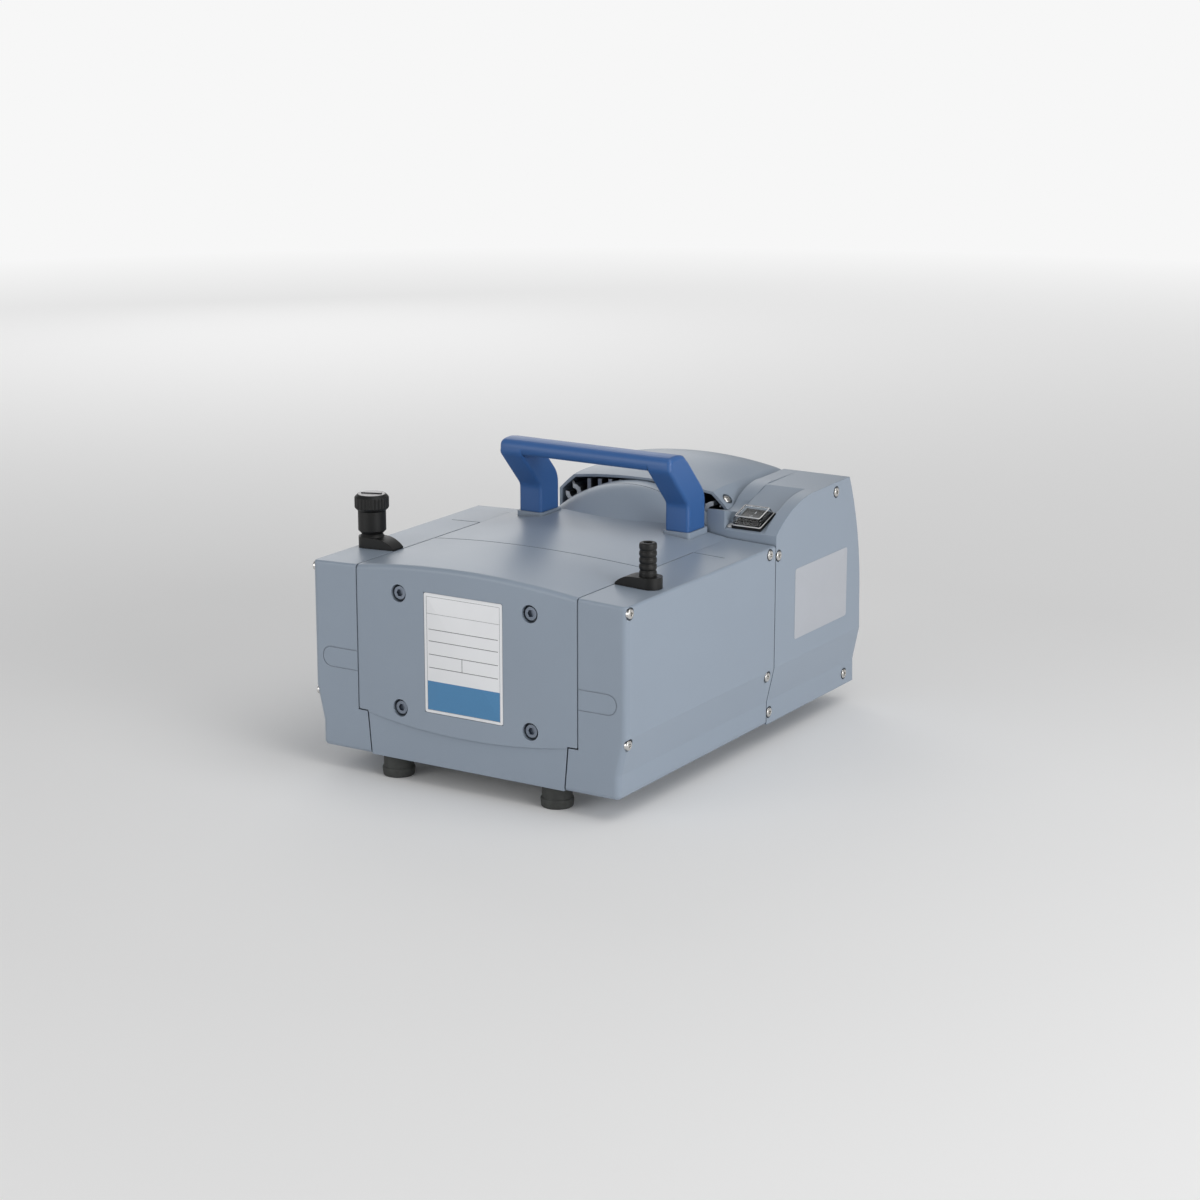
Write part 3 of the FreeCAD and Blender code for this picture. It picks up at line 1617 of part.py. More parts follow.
def inlet_hose_nozzle():
    start = deck_at(nozzle_x) + port_base_height
    return barbed(nozzle_radius, nozzle_length, nozzle_bore, (nozzle_x, nozzle_y), "z", start)


def turned(corners, x, y, z):
    """Solid turned about the upright axis through a point, from pairs of radius and height."""
    wire = Part.makePolygon([V(x + r, y, z + h) for r, h in corners + corners[:1]])
    return Part.Face(wire).revolve(V(x, y, z), V(0, 0, 1), 360)


def valve_seat_z():
    return deck_at(port_x) + port_base_height


def ballast_valve_body():
    """Column with a waist above the shoe and a thin stem for the cap."""
    flare_top = valve_neck_height + valve_flare_height
    return turned([
        (0, 0),
        (valve_foot_radius, 0),
        (valve_neck_radius, valve_neck_height),
        (valve_column_radius, flare_top),
        (valve_column_radius, valve_column_height),
        (valve_stem_radius, valve_column_height),
        (valve_stem_radius, valve_column_height + valve_stem_height),
        (0, valve_column_height + valve_stem_height),
    ], -port_x, port_y, valve_seat_z())


def ballast_cap():
    """Ribbed cap that turns on the valve stem, with a raised bar across its flat top."""
    x, y = -port_x, port_y
    z = valve_seat_z() + valve_column_height + seat_gap
    cap = turned([
        (0, 0),
        (cap_foot_radius, 0),
        (cap_radius, cap_foot_height),
        (cap_radius, cap_height - cap_crown_height),
        (cap_crown_radius, cap_height),
        (0, cap_height),
    ], x, y, z)
    for k in range(cap_ribs):
        groove = prism("z", z - 1, z + cap_height - cap_crown_height, [
            (cap_radius + 1, -1.5 * cap_rib_depth),
            (cap_radius - cap_rib_depth, -cap_rib_depth / 2),
            (cap_radius - cap_rib_depth, cap_rib_depth / 2),
            (cap_radius + 1, 1.5 * cap_rib_depth),
        ])
        groove.rotate(V(0, 0, 0), V(0, 0, 1), 360.0 * k / cap_ribs)
        groove.translate(V(x, y, 0))
        cap = cap.cut(groove)
    bore = bar("z", valve_stem_radius + running_fit, z - 1, z + valve_stem_height + seat_gap, (x, y))
    half = pointer_thickness / 2
    reach = cap_crown_radius - half
    pointer = block(x - reach, x + reach, y - half, y + half, z + cap_height - 1,
                    z + cap_height + pointer_height)
    pointer.rotate(V(x, y, 0), V(0, 0, 1), pointer_angle)
    return cap.cut(bore).fuse(pointer)


def outlet_hose_nozzle():
    """Outlet on the rear wall of the left cover, pointing backwards."""
    x, z = -port_x, underside + outlet_height
    collar = bar("y", outlet_collar_radius, cover_rear, cover_rear + outlet_collar_length, (x, z))
    pipe = bar("y", port_pipe_radius, cover_rear - 3 * wall, cover_rear, (x, z))
    body = collar.fuse(pipe).cut(bar("y", nozzle_bore, cover_rear - 3 * wall - 1,
                                     cover_rear + outlet_collar_length, (x, z)))
    tail = barbed(nozzle_radius, nozzle_length, nozzle_bore, (x, z), "y",
                  cover_rear + outlet_collar_length)
    return body.fuse(tail)


def transfer_tube(side):
    """Tube between the lower bosses of the two head covers of one side."""
    offset = 0 if side > 0 else head_offset
    y0 = front_station + offset
    y1 = y0 + head_spacing
    z = crank_z - valve_spacing / 2
    bend = port_pipe_radius + 2
    x0 = head_cover_face
    x1 = port_x + 1.5
    path = Part.Wire([
        Part.makeLine(V(x0, y0, z), V(x1 - bend, y0, z)),
        Part.Arc(V(x1 - bend, y0, z),
                 V(x1 - bend * (1 - math.sqrt(0.5)), y0 + bend * (1 - math.sqrt(0.5)), z),
                 V(x1, y0 + bend, z)).toShape(),
        Part.makeLine(V(x1, y0 + bend, z), V(x1, y1 - bend, z)),
        Part.Arc(V(x1, y1 - bend, z),
                 V(x1 - bend * (1 - math.sqrt(0.5)), y1 - bend * (1 - math.sqrt(0.5)), z),
                 V(x1 - bend, y1, z)).toShape(),
        Part.makeLine(V(x1 - bend, y1, z), V(x0, y1, z)),
    ])
    circle = Part.Wire(Part.makeCircle(port_pipe_radius, V(x0, y0, z), V(1, 0, 0)))
    return on_side(side, path.makePipeShell([circle], True, False))


def electrical_box_screws():
    return [pan_screw(x, y, z) for y, z, x in box_screw_spots()]


def side_cover_screws():
    screws = []
    for side in (1, -1):
        for y, z in cover_screw_spots():
            screws.append(on_side(side, pan_screw(side_wall_at(z), y, z)))
    return screws


def build_housing():
    save("front_cover", front_cover())
    save("top_housing", top_housing())
    save("right_side_cover", side_cover(1))
    save("left_side_cover", side_cover(-1))
    save("base_plate", base_plate())
    save("rear_hood", rear_hood())
    save("front_cover_screws", *front_cover_screws())
    save("side_cover_screws", *side_cover_screws())
    save("hood_screws", *hood_screws())
    save("rubber_feet", *rubber_feet())
    save("handle", handle())
    save("handle_screws", *handle_screws())


def build_electrical():
    save("electrical_box", electrical_box())
    save("electrical_tray", electrical_tray())
    save("electrical_box_screws", *electrical_box_screws())
    save("mains_inlet", mains_inlet())
    save("capacitor", capacitor())
    save("switch_housing", switch_housing())
    save("switch_rocker", switch_rocker())
    save("switch_boot", switch_boot())


def build_ports():
    elbow = port_base(nozzle_x, nozzle_y).fuse(port_elbow(nozzle_x, nozzle_y, front_station))
    save("inlet_elbow", elbow)
    save("inlet_hose_nozzle", inlet_hose_nozzle())
    elbow = port_base(port_x, port_y).fuse(port_elbow(port_x, port_y, front_station + head_offset))
    save("ballast_elbow", mirrored(elbow))
    save("ballast_valve_body", ballast_valve_body())
    save("ballast_cap", ballast_cap())
    save("outlet_hose_nozzle", outlet_hose_nozzle())
    save("transfer_tubes", transfer_tube(1), transfer_tube(-1))


def build_pump_block():
    save("crankcase", crankcase())
    save("main_bearings", *main_bearings())
    save("vibration_mounts", *vibration_mounts())
    save("crankshaft", crankshaft())
    save("counterweights", *counterweights())
    valves, screws = [], []
    covers = {1: [], -1: []}
    for name, (side, y, phase) in stations.items():
        throw_x = phase * throw
        lift = side * throw_x
        save("pump_head_" + name, pump_head(side, y))
        save("diaphragm_" + name, diaphragm(side, y, lift))
        save("connecting_rod_" + name, connecting_rod(side, y, lift, throw_x))
        save("diaphragm_clamp_" + name, diaphragm_clamp(side, y, lift))
        covers[side].append(head_cover(side, y))
        valves += valve_disc_pair(side, y)
        screws += head_screw_set(side, y)
    save("head_covers_right", *covers[1])
    save("head_covers_left", *covers[-1])
    save("valve_discs", *valves)
    save("head_screws", *screws)


def build_motor():
    save("motor_housing", motor_housing())
    save("motor_stator", motor_stator())
    save("motor_windings", *motor_windings())
    save("motor_end_shield_front", motor_end_shield_front())
    save("motor_end_shield_rear", motor_end_shield_rear())
    save("rotor", rotor())
    save("cooling_fan", cooling_fan())


os.makedirs("parts", exist_ok=True)
build_housing()
build_electrical()
build_ports()
build_pump_block()
build_motor()
print("length", round(overall_length, 2), "crank axis z", round(crank_z, 2))
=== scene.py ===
"""Looks of a bench diaphragm vacuum pump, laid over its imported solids.

The front panel faces -Y, the electrical box stands at +X and the feet rest on z = 0. The scene is in
metres, and sizes and outlines are in millimetres.
"""

import json
import logging
import math
from collections.abc import Iterable
from dataclasses import dataclass
from enum import Enum
from functools import cache

import bmesh
import bpy
import numpy as np
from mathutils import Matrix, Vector

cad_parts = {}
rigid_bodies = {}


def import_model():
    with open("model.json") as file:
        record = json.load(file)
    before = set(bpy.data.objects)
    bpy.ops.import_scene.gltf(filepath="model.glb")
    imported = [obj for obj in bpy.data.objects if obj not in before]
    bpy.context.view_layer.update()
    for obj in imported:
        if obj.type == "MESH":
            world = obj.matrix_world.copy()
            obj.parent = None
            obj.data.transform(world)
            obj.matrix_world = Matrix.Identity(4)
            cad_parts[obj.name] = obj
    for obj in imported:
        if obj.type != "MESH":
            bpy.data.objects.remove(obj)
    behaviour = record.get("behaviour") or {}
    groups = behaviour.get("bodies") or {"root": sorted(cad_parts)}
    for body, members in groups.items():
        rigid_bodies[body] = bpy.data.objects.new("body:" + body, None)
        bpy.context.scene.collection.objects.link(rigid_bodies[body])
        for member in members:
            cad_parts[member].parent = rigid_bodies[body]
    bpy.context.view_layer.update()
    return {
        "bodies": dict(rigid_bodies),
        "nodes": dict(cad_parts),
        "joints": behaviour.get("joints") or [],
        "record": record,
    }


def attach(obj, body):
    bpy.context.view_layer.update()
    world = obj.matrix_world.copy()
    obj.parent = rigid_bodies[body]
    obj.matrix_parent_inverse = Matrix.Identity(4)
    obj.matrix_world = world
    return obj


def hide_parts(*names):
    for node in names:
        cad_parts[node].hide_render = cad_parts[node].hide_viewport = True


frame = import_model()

log = logging.getLogger("vacuum_pump")
MM = 0.001
MIRROR = np.array([-1, 1, 1])
# Points on a turned circle and on a rounded rectangle, and rays of the edge and crevice nodes
CIRCLE, BOX_POINTS, RAYS = 96, 64, 6
Array = np.ndarray
Sizes = np.ndarray | float
Pair = tuple[float, float]
Triple = tuple[float, float, float]
Colour = Triple
Object = bpy.types.Object
Material = bpy.types.Material
Socket = bpy.types.NodeSocket


# Surfaces on grids


class Shading(Enum):
    """How a piece's faces meet."""

    CREASED = math.radians(38)
    CRISP = math.radians(20)


def outward(points: Array, faces: Array) -> Array:
    """Turns faces out of a closed form, whose cones from the origin then have a positive volume in all.

    Args:
        points: corners, n by 3.
        faces: corner numbers, m by 4, where a triangle repeats its last corner.

    Returns:
        The faces, in the same or the opposite order.
    """
    a, b, c, d = (points[faces[:, k]] for k in range(4))
    volume = np.einsum("ij,ij->", a, np.cross(b, c)) + np.einsum("ij,ij->", a, np.cross(c, d))
    return faces if volume > 0 else faces[:, [3, 2, 1, 0]]


def grid_faces(rows: int, columns: int, loop_rows: bool, loop_columns: bool) -> Array:
    """Numbers the four corners of each cell of a grid.

    Args:
        rows: rows of points.
        columns: points in a row.
        loop_rows: whether the last row joins the first.
        loop_columns: whether each row is closed.

    Returns:
        Corner numbers, m by 4.
    """
    i = np.arange(rows if loop_rows else rows - 1)[:, None]
    j = np.arange(columns if loop_columns else columns - 1)[None, :]
    down, right = (i + 1) % rows, (j + 1) % columns
    corners = [i * columns + j, i * columns + right, down * columns + right, down * columns + j]
    return np.stack([np.broadcast_to(c, (i.size, j.size)).ravel() for c in corners], axis=1)


def cap_faces(loop: Array, centre: int, flipped: bool) -> Array:
    """Fans a loop of points to one centre point, the last corner of each triangle repeated.

    Args:
        loop: corner numbers of the loop.
        centre: number of the centre point.
        flipped: whether the fan faces the other way.

    Returns:
        Corner numbers, m by 4.
    """
    ahead = np.roll(loop, -1)
    middle = np.full(loop.size, centre)
    first, second = (ahead, loop) if flipped else (loop, ahead)
    return np.stack([first, second, middle, middle], axis=1)


def placed(data: bpy.types.ID) -> Object:
    """Makes an object of that data and name, and links it to the scene.

    Args:
        data: a mesh, a camera or a lamp.

    Returns:
        The object.
    """
    piece = bpy.data.objects.new(data.name, data)
    bpy.context.scene.collection.objects.link(piece)
    return piece


def to_mesh(name: str, points: Array, faces: Array, shading: Shading) -> Object:
    """Puts points and faces into an object at the origin.

    Args:
        name: name of the piece.
        points: corners in metres, n by 3.
        faces: corner numbers, m by 4, where a triangle repeats its last corner.
        shading: the angle over which an edge stays sharp.

    Returns:
        The linked object.
    """
    rows = [row[:3] if row[2] == row[3] else row for row in faces.tolist()]
    mesh = bpy.data.meshes.new(name)
    mesh.from_pydata(points.tolist(), [], rows)
    mesh.update()
    mesh.polygons.foreach_set("use_smooth", np.ones(len(rows), bool))
    mesh.set_sharp_from_angle(angle=shading.value)
    return placed(mesh)


def tube(name: str, sections: Array, shading: Shading = Shading.CREASED, ring: bool = False) -> Object:
    """Skins closed loops from the first to the last, and fans the two ends shut.

    Args:
        name: name of the piece.
        sections: loops in metres, rows by columns by 3.
        shading: the angle over which an edge stays sharp.
        ring: whether the last loop joins the first.

    Returns:
        The closed piece.
    """
    rows, columns, _ = sections.shape
    points = sections.reshape(-1, 3)
    faces = grid_faces(rows, columns, ring, True)
    if not ring:
        points = np.concatenate([points, sections[[0, -1]].mean(1)])
        loop, count = np.arange(columns), rows * columns
        first, last = cap_faces(loop, count, True), cap_faces(loop + count - columns, count + 1, False)
        faces = np.concatenate([faces, first, last])
    return to_mesh(name, points, outward(points, faces), shading)


def sewn(name: str, patches: list[Array]) -> Object:
    """Sews grids of points into one closed skin: points that lie on one another become one corner.

    Args:
        name: name of the piece.
        patches: grids in metres, each rows by columns by 3.

    Returns:
        The closed piece.
    """
    faces, start = [], 0
    for patch in patches:
        rows, columns, _ = patch.shape
        faces.append(grid_faces(rows, columns, False, False) + start)
        start += rows * columns
    points = np.concatenate([patch.reshape(-1, 3) for patch in patches])
    piece = to_mesh(name, points, np.concatenate(faces), Shading.CREASED)
    cloth = bmesh.new()
    cloth.from_mesh(piece.data)
    bmesh.ops.remove_doubles(cloth, verts=cloth.verts, dist=2e-6)
    bmesh.ops.recalc_face_normals(cloth, faces=cloth.faces)
    cloth.to_mesh(piece.data)
    cloth.free()
    piece.data.set_sharp_from_angle(angle=Shading.CREASED.value)
    return piece


def evenly(line: Array, count: int) -> Array:
    """Count points at even steps along an open line, by straight steps between its own points.

    Args:
        line: points of the line, in order.
        count: how many points to lay.

    Returns:
        The new points, count by 2.
    """
    steps = np.linalg.norm(np.diff(line, axis=0), axis=1)
    length = np.concatenate([[0.0], np.cumsum(steps)])
    spots = np.linspace(0, length[-1], count)
    return np.stack([np.interp(spots, length, line[:, k]) for k in range(line.shape[1])], axis=1)


def left_normals(line: Array) -> Array:
    """Left-hand normals of an open line, stretched at bends by 1 / cos(half the bend) as a mitre is.

    Args:
        line: points of the line, n by 2.

    Returns:
        One normal for each point, n by 2.
    """
    step = np.diff(line, axis=0)
    side = np.stack([-step[:, 1], step[:, 0]], axis=1) / np.linalg.norm(step, axis=1)[:, None]
    both = np.concatenate([side[:1], side]) + np.concatenate([side, side[-1:]])
    return 2 * both / (both ** 2).sum(1, keepdims=True)


def between(first: Array, last: Array, share: Array) -> Array:
    """Points at each share of the way from the first to the last: first (1 - s) + last s."""
    return first[..., None, :] * (1 - share[:, None]) + last[..., None, :] * share[:, None]


def rounded_corners(corners: list[Pair], radii: Iterable[float], steps: int, reach: float = 0.49) -> Array:
    """Rounds the corners of an open outline.

    Two points lie on a corner's legs, one radius away but at most reach of a leg, and the curve between
    them is (1-t)^2 of the first, 2t(1-t) of the corner and t^2 of the second.

    Args:
        corners: the outline's corners.
        radii: one rounding per corner between the ends, 0 for a sharp one.
        steps: points on each rounding.
        reach: largest share of a leg that a rounding takes up.

    Returns:
        Points, n by 2.
    """
    spots = np.array(corners, float)
    pieces = [spots[:1]]
    for before, here, after, radius in zip(spots[:-2], spots[1:-1], spots[2:], radii):
        if radius <= 0:
            pieces.append(here[None])
            continue
        back, ahead = before - here, after - here
        near = here + back * min(radius / np.linalg.norm(back), reach)
        far = here + ahead * min(radius / np.linalg.norm(ahead), reach)
        t = np.linspace(0, 1, steps)[:, None]
        pieces.append((1 - t) ** 2 * near + 2 * t * (1 - t) * here + t ** 2 * far)
    pieces.append(spots[-1:])
    return np.concatenate(pieces)


def smooth(value: Sizes) -> Sizes:
    """Smooth step t^2 (3 - 2t), with t held between 0 and 1."""
    t = np.clip(value, 0, 1)
    return t ** 2 * (3 - 2 * t)


def at_x(outline: Array, x: float) -> Array:
    """Sets outlines in Y and Z at a place in X."""
    return np.concatenate([0 * outline[..., :1] + x, outline], axis=-1)


def quarter(steps: int) -> list[Pair]:
    """Pairs 1 - cos t and 1 - sin t at even steps of t over a quarter of a circle."""
    return [(1 - math.cos(t), 1 - math.sin(t)) for t in np.linspace(0, math.pi / 2, steps)]


def around(count: int) -> Array:
    """Angles at even steps round a circle, from 0."""
    return np.linspace(0, 2 * math.pi, count, endpoint=False)


def swept(r: Array, h: Array, angle: Array) -> Array:
    """Circles r cos a, r sin a at the heights h."""
    return np.stack(np.broadcast_arrays(r * np.cos(angle), r * np.sin(angle), h), axis=-1)


def rounded_box(half_x: Sizes, half_y: Sizes, corner: Sizes, h: Sizes) -> Array:
    """Rounded rectangles at the heights h: the corner's circle, carried by the signs of cos a and sin a.

    Args:
        half_x: half the size in X, one or a column of them.
        half_y: half the size in Y.
        corner: corner radius.
        h: heights, as a column for more than one loop.

    Returns:
        Loops, rows by columns by 3.
    """
    a = (np.arange(BOX_POINTS) + 0.5) * 2 * math.pi / BOX_POINTS
    x = np.sign(np.cos(a)) * (half_x - corner) + corner * np.cos(a)
    y = np.sign(np.sin(a)) * (half_y - corner) + corner * np.sin(a)
    return np.stack(np.broadcast_arrays(x, y, h), axis=-1)


def plate_loops(width: float, length: float, thick: float, corner: float, edge: float) -> Array:
    """Loops of a flat plate with rounded corners.

    The upper rim pulls in by edge (1 - cos t) where it lies edge (1 - sin t) below the top.

    Args:
        width: size in X.
        length: size in Y.
        thick: size in Z, from 0 up.
        corner: corner radius.
        edge: rounding of the upper rim.

    Returns:
        Rows by columns by 3.
    """
    pull, fall = np.array([(0.0, thick)] + [(edge * cosine, edge * sine) for cosine, sine in quarter(5)]).T
    pull, height = pull[:, None], (thick - fall)[:, None]
    return rounded_box(width / 2 - pull, length / 2 - pull, corner - pull, height)


def tip(degrees: float) -> Array:
    """Matrix that tips points in rows about X, their +Y end up."""
    a = math.radians(degrees)
    return np.array([[1, 0, 0], [0, math.cos(a), math.sin(a)], [0, -math.sin(a), math.cos(a)]])


class Axis(Enum):
    """The axis that a turned piece is turned about: rows are its two radial directions and the axis."""

    UP = ((1, 0, 0), (0, 1, 0), (0, 0, 1))
    BACK = ((0, 0, 1), (1, 0, 0), (0, 1, 0))


def turned(name: str, profile: Array, centre: Triple, axis: Axis = Axis.UP, ring: bool = False) -> Object:
    """Turns a profile about an axis: each point (r, h) sweeps a circle of radius r at height h.

    Args:
        name: name of the piece.
        profile: radii and heights, n by 2.
        centre: foot of the axis.
        axis: direction of the axis.
        ring: whether the profile is a closed loop beside the axis.

    Returns:
        The closed piece.
    """
    local = swept(profile[:, :1], profile[:, 1:], around(CIRCLE)[None, :])
    return tube(name, (local @ np.array(axis.value, float) + np.array(centre, float)) * MM, ring=ring)


# Finishes


class Graph:
    """Lays and joins the nodes of one material or world, which all read Object coordinates in metres."""

    def __init__(self, owner: Material | bpy.types.World) -> None:
        """Starts with only the coordinates.

        Args:
            owner: the material or world whose nodes they are.
        """
        owner.use_nodes = True
        self.owner, self.tree = owner, owner.node_tree
        self.tree.nodes.clear()
        self.place = self.add("TexCoord").outputs["Object"]

    def add(self, kind: str, options: dict | None = None, **inputs) -> bpy.types.Node:
        """Adds a node.

        Args:
            kind: the node's type without its first word, ShaderNode.
            options: properties of the node itself.
            inputs: what goes into its inputs, by name with _ for a blank, or by number after an n: a
                socket to join, a value, a colour of three channels, or None to leave one as it is.

        Returns:
            The node.
        """
        node = self.tree.nodes.new("ShaderNode" + kind)
        for key, value in (options or {}).items():
            setattr(node, key, value)
        for key, value in inputs.items():
            numbered = key[0] == "n" and key[1:].isdigit()
            socket = node.inputs[int(key[1:]) if numbered else key.replace("_", " ")]
            if isinstance(value, Socket):
                self.tree.links.new(value, socket)
            elif value is not None:
                socket.default_value = (*value, 1.0) if socket.type == "RGBA" else value
        return node

    def noise(self, size: float, detail: float = 3.0, rough: float = 0.5,
              place: Socket | None = None) -> Socket:
        """Noise whose patches are about size metres across.

        Args:
            size: size of a patch.
            detail: octaves of finer noise.
            rough: how strong the finer ones are.
            place: coordinates, unless they are the object's own.

        Returns:
            The noise, about 0.5.
        """
        node = self.add("TexNoise", Vector=place or self.place, Scale=1 / size,
                        Detail=detail, Roughness=rough)
        return node.outputs["Fac"]

    def math(self, operation: str, *values) -> Socket:
        """One arithmetic step on numbers or sockets."""
        inputs = {f"n{k}": value for k, value in enumerate(values)}
        return self.add("Math", {"operation": operation}, **inputs).outputs[0]

    def spread(self, value: Socket, low: float, high: float, start: float = 0.0, end: float = 1.0) -> Socket:
        """Maps a number from start..end to low..high.

        Args:
            value: the number.
            low: result at the start.
            high: result at the end.
            start: number that gives low.
            end: number that gives high.

        Returns:
            The result, held within both.
        """
        node = self.add("MapRange", Value=value, From_Min=start, From_Max=end,
                        To_Min=low, To_Max=high)
        return node.outputs[0]

    def blend(self, share: Socket, first, second) -> Socket:
        """Mixes two colours by a share."""
        return self.add("Mix", {"data_type": "RGBA"}, n0=share, n6=first, n7=second).outputs[2]

    def vary(self, share: Socket, colour: Colour, low: float, high: float) -> Socket:
        """Mixes a darker and a lighter shade of one colour by a share."""
        return self.blend(share, shade(colour, low), shade(colour, high))

    def soft_edges(self, radius: float) -> Socket:
        """Normal that rolls over the edges within a radius."""
        return self.add("Bevel", {"samples": RAYS}, Radius=radius).outputs[0]

    def edge_share(self, softened: Socket) -> Socket:
        """0 on flat ground and up to 1 on an edge: how far the softened normal leans from the true one.

        Args:
            softened: the softened normal.

        Returns:
            The share.
        """
        true = self.add("NewGeometry").outputs["Normal"]
        lean = self.add("VectorMath", {"operation": "DOT_PRODUCT"}, n0=softened, n1=true)
        return self.spread(lean.outputs["Value"], 1.0, 0.0, 0.75, 1.0)

    def crevice(self, reach: float) -> Socket:
        """1 in a narrow gap or corner and 0 in the open: how little sky a point sees within reach."""
        seen = self.add("AmbientOcclusion", {"samples": RAYS}, Distance=reach).outputs["AO"]
        return self.spread(seen, 1.0, 0.0, 0.25, 0.8)

    def gloss(self, slow: Socket, fine: Socket, middle: float, sway: float, grain: float) -> Socket:
        """Roughness about a middle value, swayed by a slow noise and grained by a fine one."""
        swayed = self.spread(slow, middle - sway, middle + sway)
        return self.math("ADD", swayed, self.spread(fine, -grain, grain))

    def bump(self, height: Socket, depth: float, normal: Socket | None = None) -> Socket:
        """Tilts the normal by a height field whose full range is depth metres."""
        node = self.add("Bump", Height=height, Distance=depth, Strength=1.0, Normal=normal)
        return node.outputs[0]

    def surface(self, colour, roughness, normal: Socket | None = None, **inputs: float) -> Socket:
        """Surface shader with a colour, a roughness and a bumped normal, each a value or a socket."""
        return self.add("BsdfPrincipled", Base_Color=colour, Roughness=roughness, Normal=normal,
                        **inputs).outputs[0]

    def output(self, surface: Socket) -> Material:
        """Joins a material's surface to its output."""
        self.add("OutputMaterial", Surface=surface)
        return self.owner


def shade(colour: Colour, factor: float) -> Colour:
    """The colour made lighter or darker by a factor."""
    return tuple(min(1.0, channel * factor) for channel in colour)


@dataclass(frozen=True)
class Finish:
    """What all finishes have: a name, a colour and a surface."""

    name: str
    colour: Colour

    def surface(self, g: Graph) -> Socket:
        """Lays the nodes of one kind of finish."""
        raise NotImplementedError


@dataclass(frozen=True)
class MouldedPlastic(Finish):
    """Moulded plastic with a fine spark texture, faint flow mottling, softened edges, a painted highlight on
    its edges and painted shade in its gaps.
    """

    roughness: float
    grain: float
    grain_depth: float
    mottle: float
    edge: float
    # How much lighter the painted highlight on edges is.
    edge_highlight_gain: float
    # How much the painted shade darkens gaps and corners.
    gap_shade: float = 0.6
    specular: float = 0.5

    def surface(self, g: Graph) -> Socket:
        """Lays mottling, a painted highlight on the edges and painted shade in gaps and corners over the
        colour, and grain over the normal.

        Args:
            g: the material's graph.

        Returns:
            The surface shader.
        """
        flow = g.noise(0.045, 4.0, 0.55)
        speck = g.noise(self.grain, 2.0, 0.6)
        softened = g.soft_edges(self.edge)
        body = g.vary(flow, self.colour, 1 - self.mottle, 1 + self.mottle)
        # Painted highlight: bevelled edges are lightened, broken up by fine noise.
        edge_highlight = g.math("MULTIPLY", g.edge_share(softened), g.spread(g.noise(0.004), 0.35, 1.0))
        colour = g.blend(edge_highlight, body, shade(self.colour, self.edge_highlight_gain))
        # Painted shade: gaps and corners that see little sky within 3 mm are darkened.
        colour = g.blend(g.crevice(0.003), colour, shade(self.colour, 1 - self.gap_shade))
        return g.surface(colour, g.gloss(flow, speck, self.roughness, 0.05, 0.04),
                         g.bump(speck, self.grain_depth, softened), Specular_IOR_Level=self.specular)


@dataclass(frozen=True)
class MarkedMetalWithEdgeHighlight(Finish):
    """Machined, cast or rolled metal: fine marks along one direction over a faint cloudiness, and a painted
    highlight on its edges.
    """

    roughness: float
    stretch: Triple = (1.0, 1.0, 1.0)
    mark: float = 0.0004
    mark_depth: float = 0.00001
    cloud: float = 0.12
    edge: float = 0.0003

    def surface(self, g: Graph) -> Socket:
        """Lays clouds and a painted edge highlight over the colour, and the marks over gloss and normal.

        Args:
            g: the material's graph.

        Returns:
            The surface shader.
        """
        stretched = g.add("Mapping", Vector=g.place, Scale=self.stretch).outputs[0]
        marks = g.noise(self.mark, 3.0, 0.65, stretched)
        cloud = g.noise(0.012, 4.0, 0.6)
        softened = g.soft_edges(self.edge)
        body = g.vary(cloud, self.colour, 1 - self.cloud, 1 + self.cloud)
        # Painted highlight: bevelled edges are lightened by a quarter.
        colour = g.blend(g.edge_share(softened), body, shade(self.colour, 1.25))
        return g.surface(colour, g.gloss(cloud, marks, self.roughness, 0.06, 0.08),
                         g.bump(marks, self.mark_depth, softened), Metallic=1.0)


@dataclass(frozen=True)
class MouldedRubber(Finish):
    """Dull rubber with a dusty bloom and fine pits."""

    def surface(self, g: Graph) -> Socket:
        """Lays the bloom over colour and gloss, and the pits over the normal.

        Args:
            g: the material's graph.

        Returns:
            The surface shader.
        """
        bloom = g.spread(g.noise(0.006, 5.0, 0.65), 0.0, 1.0, 0.42, 0.72)
        pits = g.bump(g.noise(0.0004, 2.0, 0.5), 0.00002, g.soft_edges(0.0006))
        colour = g.blend(bloom, self.colour, shade(self.colour, 1.6))
        return g.surface(colour, g.spread(bloom, 0.55, 0.75), pits, Specular_IOR_Level=0.35)


@dataclass(frozen=True)
class ClearPlastic(Finish):
    """Clear flexible plastic with faint ripples and a light haze."""

    clearest: Colour

    def surface(self, g: Graph) -> Socket:
        """Lays the ripples over colour and normal, and the haze over the gloss.

        Args:
            g: the material's graph.

        Returns:
            The surface shader.
        """
        ripple = g.noise(0.006, 3.0, 0.5)
        haze = g.spread(g.noise(0.003, 4.0, 0.6), 0.02, 0.10)
        return g.surface(g.blend(ripple, self.colour, self.clearest), haze,
                         g.bump(ripple, 0.0001, g.soft_edges(0.0004)), Transmission_Weight=1.0, IOR=1.2)


@dataclass(frozen=True)
class StackedSheets(Finish):
    """Stamped steel sheets pressed together: thin bands along Y with dark joints."""

    pitch: float = 0.0005

    def surface(self, g: Graph) -> Socket:
        """Lays the joints, whose share is high where the sine of y over the pitch is near -1.

        Args:
            g: the material's graph.

        Returns:
            The surface shader.
        """
        y = g.add("SeparateXYZ", Vector=g.place).outputs["Y"]
        wave = g.math("SINE", g.math("MULTIPLY", y, 2 * math.pi / self.pitch))
        joint = g.spread(wave, 1.0, 0.0, -1.0, -0.3)
        rust = g.noise(0.008, 4.0, 0.6)
        colour = g.blend(joint, g.vary(rust, self.colour, 0.85, 1.15), shade(self.colour, 0.45))
        return g.surface(colour, g.spread(rust, 0.38, 0.55), g.bump(wave, 0.00004), Metallic=1.0)


